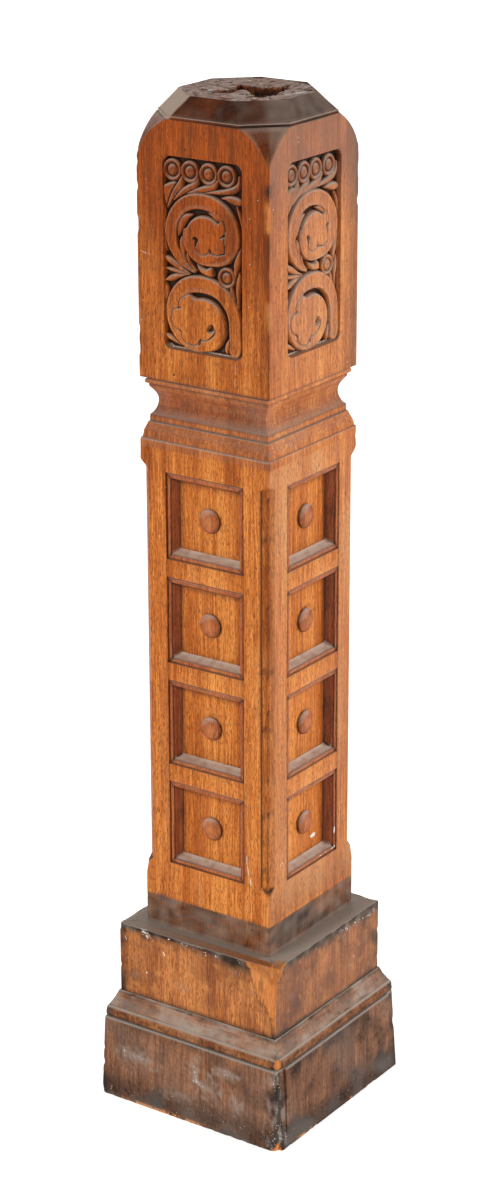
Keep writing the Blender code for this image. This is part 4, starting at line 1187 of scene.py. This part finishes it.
plinth = {
    "boardHalf": 0.1092, "boardTop": 0.2215, "boardBack": 0.0865, "mitreGap": 0.0002,
    "softCorner": 0.00035,
    "mouldBack": 0.1095, "skirtingTop": 0.1020, "skirtingFoot": 0.1266, "skirtingEnd": 0.1092,
    "skirtingHead": {"front": 0.1250, "side": 0.1250, "back": 0.1222, "far": 0.1215},
    "step": {"front": 0.0022, "side": 0.0022, "back": 0.0045, "far": 0.0045},
    # base moulding as (rise over the skirting, half width)
    "mould": ((0.0003, 0.1212), (0.0012, 0.1219), (0.0040, 0.1221), (0.0080, 0.1218), (0.0112, 0.1213),
              (0.0122, 0.1209), (0.0127, 0.1202), (0.0136, 0.1197), (0.0165, 0.1181), (0.0200, 0.1160),
              (0.0232, 0.1143), (0.0262, 0.1130), (0.0288, 0.1119), (0.0308, 0.1112), (0.0317, 0.1106),
              (0.0320, 0.1098)),
    # split faces of the corner towards the camera, as three points on each
    "splits": (((0.0644, -0.1092, 0.2215), (0.1092, -0.1092, 0.1370), (0.1092, -0.1048, 0.1960)),
               ((0.0650, -0.1092, 0.2215), (0.1092, -0.0880, 0.2215), (0.1092, -0.1050, 0.1960))),
    "mitreChip": 0.1685,
    "footChip": ((0.1266, -0.1180, 0.0), (0.1170, -0.1266, 0.0), (0.1260, -0.1260, 0.0160)),
    # whitish smears on the front skirting board, as (across, height, half width, half height, strength)
    "smears": ((-0.078, 0.061, 0.030, 0.010, 0.60), (0.008, 0.066, 0.010, 0.024, 0.60),
               (0.050, 0.080, 0.020, 0.010, 0.60), (0.030, 0.052, 0.018, 0.018, 0.45),
               (-0.020, 0.030, 0.030, 0.008, 0.30), (0.066, 0.045, 0.014, 0.016, 0.40)),
}


def splitPlane(points):
    a, b, c = (Vector(point) for point in points)
    normal = (b - a).cross(c - a).normalized()
    if normal.dot(a - Vector((0, 0, a.z))) < 0:
        normal.negate()
    return a, normal


def breakAway(point, planes, ragged):   # moves a point on to the split, and says how fresh it is
    fresh = 0.0
    for a, normal in planes:
        rough = ragged * (streaks(point, 0.0035, 0.030, 2.0) + 0.5 * cloud(point, 0.004, 5.0))
        out = (point - a).dot(normal) + rough
        if out > 0:
            point = point - normal * out
            fresh = max(fresh, softStep(0.0, 0.0006, out))
    return point, fresh


def lengthRing(outer, back, ends, count, side):   # plan of a length: right end, outside, left end, back
    cheek = [(ends[1] + (ends[0] - ends[1]) * i / side, -(back + (outer - back) * i / side))
             for i in range(side)]
    reach = ends[0] - plinth["softCorner"]
    cheek.append((ends[0], -(outer - plinth["softCorner"])))
    plan = cheek + [(reach * (1 - 2 * i / count), -outer) for i in range(count + 1)]
    return plan + [(-x, y) for x, y in reversed(cheek)] + plan[:1]


def standLength(name, face, levels, back, endsFor, change, paint, finish, node):
    step = plinth["step"][face]
    widest = max(outer for _, outer in levels)
    count = round(2 * endsFor(levels[0][0], widest)[0] / step)
    side = max(2, round((widest - back) / step))
    rings = []
    for z, outer in levels:
        ring = lengthRing(outer, back, endsFor(z, outer), count, side)
        rings.append([Vector((x, y, z)) for x, y in ring])
    fresh = {}
    turn = turnTo(face)

    def place(i, j):
        point, broken = change(turn @ rings[j][i])
        fresh[tuple(round(c, 5) for c in point)] = broken
        return point

    bm = weldedGrid(len(rings[0]) - 1, len(rings) - 1, place)
    closeHoles(bm)

    def paintLength(point):
        grime, dust, worn, _, tone, spots = paint(point)
        broken = fresh.get(tuple(round(c, 5) for c in point), 0.0)
        torn = 0.6 * broken * softStep(0.10, 0.42, streaks(point, 0.0028, 0.030, 68.0))
        torn += 2.4 * broken * (1 - broken)          # dirt along the line of the break
        return (grime * (1 - 0.8 * broken) + torn, dust * (1 - 0.9 * broken), worn,
                broken * max(1 - torn, 0.3), tone, spots * (1 - broken))

    makePiece(name, bm, finish, [node], paintLength)


def levelsBetween(rows, longest):
    made = [rows[0]]
    for low, high in zip(rows, rows[1:]):
        steps = max(1, math.ceil((high[0] - low[0]) / longest - 0.001))
        made += [tuple(a + (b - a) * i / steps for a, b in zip(low, high)) for i in range(1, steps + 1)]
    return made


splitPlanes = [splitPlane(points) for points in plinth["splits"]]
mitreReach = plinth["mitreChip"] / math.sqrt(2)
mitrePlane = (Vector((mitreReach, -mitreReach, 0)), Vector((1, -1, 0)).normalized())
footPlane = splitPlane(plinth["footChip"])


def edgeKnock(point, half, deep):   # dents along the upright corners of the plinth
    other = min(abs(point[0]), abs(point[1]))
    dent = deep * softStep(half - 0.006, half - 0.0005, other)
    dent *= softStep(0.18, 0.60, cloud(point, 0.011, 12.0))
    return point - Vector((math.copysign(dent, point[0]), math.copysign(dent, point[1]), 0))


def wearTop(point, top, deep):   # a softened, dented upper edge
    if point[2] < top - 0.004:
        return point
    dent = deep * softStep(0.0, 0.6, cloud(point, 0.012, 16.0)) * softStep(top - 0.004, top, point[2])
    return Vector((point[0], point[1], point[2] - dent))


def changeBoard(point):
    point = edgeKnock(point, plinth["boardHalf"], 0.0008)
    if point[0] > 0.05 and point[1] < -0.08:
        return breakAway(point, splitPlanes, 0.0011)
    return wearTop(point, plinth["boardTop"], 0.0008), 0.0


def paintBoard(point):
    spot = Spot(point)
    z, flat, other = spot.z, spot.flat, spot.other
    patch, fleck = spot.cloud(0.030, 3.0), spot.cloud(0.005, 13.0)
    top = plinth["boardTop"]
    grime = 0.10 * softStep(0.0, 0.5, patch) + 0.16 * softStep(0.1, 0.6, fleck)
    blot = softStep(0.10, 0.45, spot.cloud(0.024, 91.0))
    grime += 0.50 * blot * softStep(0.03, 0.09, abs(other - 0.02))
    grime += 0.45 * softStep(0.098, 0.1085, other) * softStep(-0.2, 0.3, spot.cloud(0.02, 93.0))
    stripe = softStep(top - 0.016 - 0.012 * patch - 0.006 * fleck, top - 0.003, z)
    grime += 0.62 * stripe + 0.35 * near(z, top - 0.0022, 0.0030, 0.0008)
    spot.dust = 0.18 * stripe * softStep(-0.2, 0.5, spot.cloud(0.012, 6.0))
    spot.dust += 0.10 * softStep(0.30, 0.60, spot.cloud(0.014, 44.0))
    if z > top - 0.0008 and flat < plinth["boardHalf"] - 0.0008:   # the ledge
        spot.dust += 1.0 + 0.3 * fleck
        grime = 0.05 + 0.35 * softStep(0.1, 0.5, fleck) + 0.12 * softStep(0.1065, 0.1080, flat)
    grime += 0.50 * softStep(0.1410, 0.1346, z)
    spot.tone = 0.05 + 0.6 * patch
    if spot.y < -0.10:                               # old stain beside the break
        away = math.hypot(spot.x - 0.054, 0.6 * (z - top)) + 0.012 * fleck
        grime += 0.45 * softStep(0.030, 0.004, away)
    if spot.sideways:
        spot.tone -= 0.28
        grime += 0.20 + 0.18 * softStep(-0.2, 0.4, spot.cloud(0.04, 71.0))
        spot.dust += 0.08
    spot.grime = grime
    spot.worn = 0.30 * softStep(0.25, 0.6, spot.cloud(0.011, 61.0))
    drips = softStep(top - 0.026, top - 0.004, z) * softStep(-0.1, 0.35, spot.cloud(0.020, 81.0))
    spot.paint = max(0.56 * drips, 0.16)
    return spot.coat()


def changeMould(point):
    point = edgeKnock(point, 0.117, 0.0006)
    dent = 0.0007 * softStep(0.25, 0.6, cloud(point, 0.009, 19.0))
    point = point - Vector((point[0], point[1], 0)).normalized() * dent
    if Spot(point).atCamera(0.10):
        return breakAway(point, [mitrePlane], 0.0010)
    return point, 0.0


def paintMould(point):
    spot = Spot(point)
    x, y = spot.x, spot.y
    rise = spot.z - plinth["skirtingTop"]
    patch, fleck = spot.cloud(0.035, 4.0), spot.cloud(0.004, 17.0)
    slope = softStep(0.0120, 0.0145, rise)
    line = 0.5 * streaks((spot.z * 9, 0.6 * (y if spot.sideways else x), 0.0), 0.02, 1.0, 6.0)
    line += 0.7 * spot.cloud(0.013, 63.0)
    spot.dust = slope * (0.02 + 0.40 * softStep(-0.2, 0.5, line + patch))
    spot.dust += 0.10 * softStep(0.0, 0.5, patch) + 0.45 * near(rise, 0.0118, 0.0016, 0.0006)
    spot.grime = 0.16 + 0.30 * softStep(-0.1, 0.5, fleck) + 0.5 * softStep(0.0270, 0.0310, rise)
    spot.grime += 0.34 * slope * softStep(0.0, 0.45, -line) + 0.22 * (1 - slope)
    spot.grime += 0.50 * softStep(0.0016, 0.0, rise) + 0.45 * near(rise, 0.0131, 0.0011)
    spot.grime += 0.45 * softStep(0.108, 0.118, spot.other) + 0.10 * spot.sideways
    scrape = softStep(0.12, 0.40, streaks((spot.z * 9, x + y, 0.0), 0.03, 1.0, 8.0))
    spot.worn = 0.40 * scrape * (1 - slope)
    spot.tone, spot.paint = -0.25 + 0.4 * patch, 0.24
    return spot.coat()


def nearCorner(point, core):   # 1 at the foot of the corner towards the camera
    return softStep(0.030, core, math.hypot(point[0] - 0.125, point[1] + 0.125))


def changeSkirting(point):
    x, y, z = point
    point = edgeKnock(point, plinth["skirtingFoot"] - 0.001, 0.0010)
    out = Vector((x, y, 0)).normalized()
    rot = softStep(0.05, 0.6, cloud(point, 0.009, 23.0) + 0.6 * cloud(point, 0.04, 24.0))
    point = point - out * softStep(0.010, 0.0, z) * 0.0009 * rot
    if x > 0.10 and y < -0.10:
        point = point - out * nearCorner((x, y), 0.006) * 0.0012 * abs(streaks(point, 0.007, 0.02, 3.0))
        return breakAway(point, [footPlane], 0.0012)
    return point, 0.0


def paintSkirting(point):
    spot = Spot(point)
    z = spot.z
    patch, fleck, broad = spot.cloud(0.030, 5.0), spot.cloud(0.004, 29.0), spot.cloud(0.07, 2.0)
    low = softStep(0.045 + 0.020 * broad, 0.012, z)
    spot.grime = 0.06 + 0.62 * low + 0.25 * softStep(0.0, 0.5, fleck)
    spot.grime += 0.42 * softStep(0.0, 0.45, patch)
    spot.grime += 0.40 * softStep(0.080, 0.0995, z) * softStep(-0.2, 0.3, spot.cloud(0.03, 35.0))
    spot.grime += 0.35 * softStep(0.112, 0.124, spot.other)
    spot.dust = 0.10 * softStep(-0.1, 0.5, broad) + 0.20 * low * softStep(-0.2, 0.4, patch)
    if z > plinth["skirtingTop"] - 0.0010:
        spot.dust += 0.6
    rubbed = softStep(0.0060, 0.0015, z) * softStep(0.22, 0.45, spot.cloud(0.055, 34.0) + 0.5 * fleck)
    spot.worn = 0.9 * rubbed
    spot.grime *= 1 - 0.85 * rubbed
    spot.grime += 0.14 * spot.sideways
    spot.paint = 0.21 + 0.10 * low
    if spot.atCamera(0.10):
        corner = nearCorner(point, 0.002)
        spot.grime += 0.45 * corner * softStep(-0.3, 0.3, spot.cloud(0.007, 38.0))
        spot.dust += 0.45 * corner * softStep(-0.05, 0.45, spot.streaks(0.006, 0.016, 37.0))
        spot.paint += 0.14 * corner
    if spot.y < -0.12:
        ragged = 1.1 * streaks((spot.x, z, 0.0), 0.006, 1.0, 51.0) + 0.5 * spot.cloud(0.012, 52.0)
        for across, height, wide, tall, much in plinth["smears"]:
            shape = math.hypot((spot.x - across) / wide, (z - height) / tall) + ragged
            spot.dust += 0.8 * much * softStep(1.3, -0.1, shape)
            spot.paint += 0.34 * much * softStep(1.2, 0.0, shape)
    spot.tone = -0.1 + 0.5 * patch
    return spot.coat()


def makePlinth(face):
    v = plinth
    gap, step = v["mitreGap"], v["step"][face]
    board = levelsBetween(((0.0, v["boardHalf"]), (v["boardTop"] - 0.0012, v["boardHalf"])), step)
    board += [(v["boardTop"] - 0.0004, v["boardHalf"] - 0.0004),
              (v["boardTop"], v["boardHalf"] - 0.0013)]
    standLength("plinthBoard" + face.capitalize(), face, board, v["boardBack"],
                lambda z, outer: (outer - gap, v["boardBack"] - gap), changeBoard, paintBoard,
                plinthFinish, "plinth_board_" + face)
    mould = levelsBetween([(v["skirtingTop"] + rise, half) for rise, half in v["mould"]], 0.0016)
    standLength("baseMoulding" + face.capitalize(), face, mould, v["mouldBack"],
                lambda z, outer: (outer - gap, v["mouldBack"] - gap), changeMould, paintMould,
                plinthFinish, "plinth_mould_" + face)
    head = v["skirtingHead"]
    turned = faces.index(face)
    left, right = head[faces[turned - 1]], head[faces[(turned + 1) % 4]]
    skirting = levelsBetween(((0.0, v["skirtingFoot"]), (v["skirtingTop"] - 0.0009, head[face]),
                              (v["skirtingTop"], head[face] - 0.0009)), step)

    def ends(z, outer):
        if face in ("side", "far"):
            return (v["skirtingEnd"], v["skirtingEnd"])
        share = z / v["skirtingTop"]
        end = v["skirtingFoot"] + (min(left, right) - v["skirtingFoot"]) * share
        return (end, end)

    standLength("skirtingBoard" + face.capitalize(), face, skirting, v["mouldBack"], ends,
                changeSkirting, paintSkirting, skirtingFinish, "skirting_board_" + face)


for face in faces:
    makePlinth(face)
print("plinth made")


# Broken top, where the finial has gone

brokenTop = {
    "around": 240, "inward": 104, "depth": 0.0150, "socketDepth": 0.0112,
    # plan of the cavity that the finial left
    "cavity": ((-0.0223, 0.0191), (-0.0014, 0.0152), (0.0064, 0.0168), (0.0180, 0.0245),
               (0.0247, 0.0430), (0.0297, 0.0360), (0.0385, 0.0097), (0.0420, -0.0164),
               (0.0415, -0.0345),
               (0.0300, -0.0320), (0.0124, -0.0147), (-0.0020, -0.0030), (-0.0045, -0.0100),
               (-0.0036, -0.0250), (-0.0080, -0.0330), (-0.0175, -0.0420), (-0.0262, -0.0300),
               (-0.0160, -0.0200), (-0.0127, -0.0080), (-0.0220, 0.0120)),
    # white flecks, as (start, end, reach)
    "flecks": (((0.0512, -0.0032), (0.0597, 0.0166), 0.0030),
               ((0.0377, -0.0441), (0.0385, -0.0430), 0.0020),
               ((-0.0330, -0.0270), (-0.0300, -0.0245), 0.0026)),
}


def outlineGap(x, y, line):   # how far inside an outline a place lies, negative outside it
    gap, inside = 1.0, False
    for (x0, y0), (x1, y1) in zip(line, line[1:] + line[:1]):
        length = (x1 - x0) ** 2 + (y1 - y0) ** 2
        share = min(max(((x - x0) * (x1 - x0) + (y - y0) * (y1 - y0)) / length, 0.0), 1.0)
        gap = min(gap, math.hypot(x - x0 - (x1 - x0) * share, y - y0 - (y1 - y0) * share))
        if (y0 > y) != (y1 > y) and x < x0 + (x1 - x0) * (y - y0) / (y1 - y0):
            inside = not inside
    return gap if inside else -gap


def topPoint(angle, share):
    v = brokenTop
    half, diagonal = baulk["capTopHalf"] - 0.0004, baulk["capTopDiagonal"] - 0.0003
    reach = min(half / max(abs(math.cos(angle)), abs(math.sin(angle))),
                diagonal / math.cos(angle % (math.pi / 2) - math.pi / 4))
    x, y = reach * share * math.cos(angle), reach * share * math.sin(angle)
    z = baulk["capTop"] - 0.0003
    z -= 0.0008 * softStep(0.0, 0.5, cloud((x, y, 0), 0.018, 4.0))
    z -= 0.0009 * softStep(0.15, 0.55, cloud((x, y * 0.5, 0), 0.005, 9.0))
    inside = outlineGap(x, y, v["cavity"]) + 0.0030 * cloud((x, y, 0), 0.006, 2.0)
    floor = v["socketDepth"] * (0.78 + 0.35 * cloud((x, y, 0), 0.012, 7.0))
    floor += 0.0060 * (abs(cloud((x, y * 0.7, 0), 0.0034, 11.0)) - 0.25)
    return Vector((x, y, min(z - floor * softStep(-0.0004, 0.0024, inside), baulk["capTop"])))


def paintTop(point):
    spot = Spot(point)
    x, y, z = point
    sunk = softStep(0.0012, 0.0050, baulk["capTop"] - z)
    deep = softStep(0.0060, 0.0110, baulk["capTop"] - z)
    crack = softStep(0.35, 0.55, abs(cloud((x, y * 0.4, 0), 0.006, 15.0)) + 0.2 * spot.cloud(0.02, 3.0))
    pale = softStep(0.05, 0.4, spot.cloud(0.011, 6.0))
    red = softStep(0.020, 0.008, math.hypot(x + 0.019, y + 0.036)) * softStep(-0.2, 0.3, pale - 0.3)
    splinter = softStep(0.05, 0.35, streaks((x + y, x - y, z * 0.3), 0.0030, 1.0, 3.0))
    rough = softStep(-0.1, 0.4, spot.cloud(0.0045, 53.0))
    spot.grime = 0.40 + 0.30 * rough + 0.38 * sunk + 0.50 * deep
    spot.grime += 0.45 * crack * (1 - sunk) - 0.35 * splinter * sunk
    spot.dust = (-0.06 + 0.32 * pale - 0.36 * crack - 0.26 * rough) * (1 - 0.92 * sunk)
    spot.dust = spot.dust * (1 - 0.7 * red) - 0.3 * sunk
    spot.tone = -0.7 + 0.4 * splinter * sunk
    spot.paint = 0.12 + 0.22 * pale * (1 - sunk)
    for start, end, reach in brokenTop["flecks"]:
        spot.paint += 1.2 * softStep(reach, 0.4 * reach, -outlineGap(x, y, (start, end)))
    return spot.coat()


def makeTop():
    v = brokenTop
    bm = weldedGrid(v["around"], v["inward"],
                    lambda i, j: topPoint(math.tau * (i % v["around"]) / v["around"],
                                          1 - j / v["inward"]))
    for vertex in newVerts(bmesh.ops.extrude_edge_only(bm, edges=openEdges(bm))):
        vertex.co.z = baulk["capTop"] - v["depth"]
    closeHoles(bm)
    makePiece("brokenTop", bm, postFinish, ["post"], paintTop, sharp=50)


makeTop()
print("top made")


# Paint drips and specks, nail holes and a crack, each a thin blot lying on the wood

marks = {
    "proud": 0.00022, "sunk": 0.00010,
    # as (across, height, half width, half height, lean in degrees), by face and by how far out they lie
    "pale": (
        ("front", "shaftHalf", ((0.0553, 0.3350, 0.0004, 0.0060, -3),
                                (0.0572, 0.3215, 0.0005, 0.0075, -8),
                                (0.0600, 0.3085, 0.0004, 0.0050, -6))),
        ("front", "headHalf", ((0.0418, 0.9060, 0.0003, 0.0080, 0), (0.0414, 0.8900, 0.0003, 0.0060, 2),
                               (-0.0760, 1.0170, 0.0080, 0.0002, 12),
                               (-0.0815, 0.9420, 0.0010, 0.0004, 20))),
        ("side", "headHalf", ((-0.0330, 1.1500, 0.0004, 0.0014, 0),
                              (-0.0320, 1.1445, 0.0004, 0.0012, 0))),
        ("side", "shaftHalf", ((0.0800, 0.3700, 0.0004, 0.0016, 0),)),
        ("side", "cofferFloor", ((0.0200, 0.3310, 0.0066, 0.0029, 0),)),
        ("side", "frameBead", ((0.0478, 0.3300, 0.0014, 0.0042, 5), (0.0480, 0.3090, 0.0012, 0.0013, 0),
                               (0.0440, 0.3082, 0.0018, 0.0006, 0), (0.0300, 0.3086, 0.0014, 0.0006, 0),
                               (0.0190, 0.3084, 0.0022, 0.0004, 0))),
        ("front", "board", ((-0.0458, 0.1979, 0.0008, 0.0034, -28),
                            (-0.0710, 0.1665, 0.0010, 0.0013, 0),
                            (-0.1006, 0.2035, 0.0005, 0.0034, -22),
                            (-0.0385, 0.2188, 0.0020, 0.0008, 0),
                            (-0.0200, 0.2183, 0.0014, 0.0005, 0),
                            (-0.0130, 0.2180, 0.0012, 0.0004, 0),
                            (-0.0980, 0.1780, 0.0005, 0.0008, 0))),
        ("side", "board", ((0.0563, 0.1702, 0.0007, 0.0014, 0),)),
    ),
    "dark": (
        ("front", "headHalf", ((-0.0210, 1.1335, 0.0017, 0.0013, 0),
                               (-0.0386, 0.8867, 0.0013, 0.0017, 10),
                               (-0.0640, 0.8990, 0.0006, 0.0040, 0))),
        ("front", "shaftHalf", ((0.0620, 0.2495, 0.0012, 0.0012, 0),
                                (-0.0751, 0.2277, 0.0012, 0.0012, 0),
                                (0.0680, 0.5220, 0.0008, 0.0022, 0))),
        ("side", "shaftHalf", ((-0.0692, 0.2280, 0.0012, 0.0012, 0),
                               (-0.0700, 0.7270, 0.0005, 0.0045, 4),
                               (0.0640, 0.7350, 0.0008, 0.0030, 8))),
    ),
    "planes": {"shaftHalf": baulk["shaftHalf"], "headHalf": baulk["headHalf"],
               "board": plinth["boardHalf"], "cofferFloor": 0.0742, "frameBead": 0.0857},
    # as (number, least and greatest size, seed)
    "paleSpecks": (90, (0.00018, 0.00055), 12), "darkSpecks": (70, (0.00020, 0.00070), 31),
    # heights that the specks keep between, and the clear wood that they lie on
    "speckHeights": (0.31, 1.10), "speckReach": 0.080, "stile": (0.055, 0.072), "topBlock": 0.745,
    "margin": 0.057, "headSill": (0.885, 0.908),
}


def makeMarks(name, groups, finish):
    bm = bmesh.new()
    for face, plane, places in groups:
        for across, height, wide, tall, lean in places:
            made = bmesh.ops.create_icosphere(bm, subdivisions=2, radius=1.0)["verts"]
            for vertex in made:
                ragged = 1 + 0.5 * cloud(vertex.co + Vector((across, height, 0)) * 90, 0.9, 7.0)
                vertex.co = Vector((vertex.co.x * wide * ragged, vertex.co.y * marks["proud"],
                                    vertex.co.z * tall * ragged))
            turn = Matrix.Rotation(math.radians(lean), 3, "Y")
            bmesh.ops.rotate(bm, verts=made, cent=(0, 0, 0), matrix=turn)
            depth = marks["sunk"] - marks["planes"][plane]
            bmesh.ops.translate(bm, verts=made, vec=(across, depth, height))
            bmesh.ops.transform(bm, verts=made, matrix=turnTo(face))
    makePiece(name, bm, finish, ["post"])


def scatteredSpecks(count, sizes, seed):
    v = marks
    chance = np.random.default_rng(seed)
    made = []
    while len(made) < count:
        face = faces[int(chance.integers(0, 4))]
        across = chance.uniform(-v["speckReach"], v["speckReach"])
        height = chance.uniform(*v["speckHeights"])
        size = chance.uniform(*sizes)
        low, high = v["stile"]
        onShaft = height < baulk["shaftEnd"] and abs(across) < high and (
            abs(across) > low or height > v["topBlock"])
        foot, sill = v["headSill"]
        onMargin = height > foot and (abs(across) > v["margin"] or height < sill)
        if onShaft or onMargin:
            place = (across, height, size, size * chance.uniform(0.8, 2.6), 0.0)
            made.append((face, "shaftHalf" if onShaft else "headHalf", (place,)))
    return tuple(made)


stain = {**oldWood, "dark": (0.030, 0.014, 0.009), "middle": (0.040, 0.020, 0.013),
         "light": (0.055, 0.028, 0.018), "settled": 0.0}
chalk = {**oldWood, "dark": (0.600, 0.520, 0.440), "middle": (0.760, 0.700, 0.640),
         "light": (0.880, 0.850, 0.800), "shade": (0.500, 0.420, 0.350), "pores": 0.0, "settled": 0.0}
makeMarks("nailHoles", marks["dark"] + scatteredSpecks(*marks["darkSpecks"]),
          makeFinish("stainFinish", stain))
makeMarks("paintDrips", marks["pale"] + scatteredSpecks(*marks["paleSpecks"]),
          makeFinish("chalkFinish", chalk))
print("marks made")
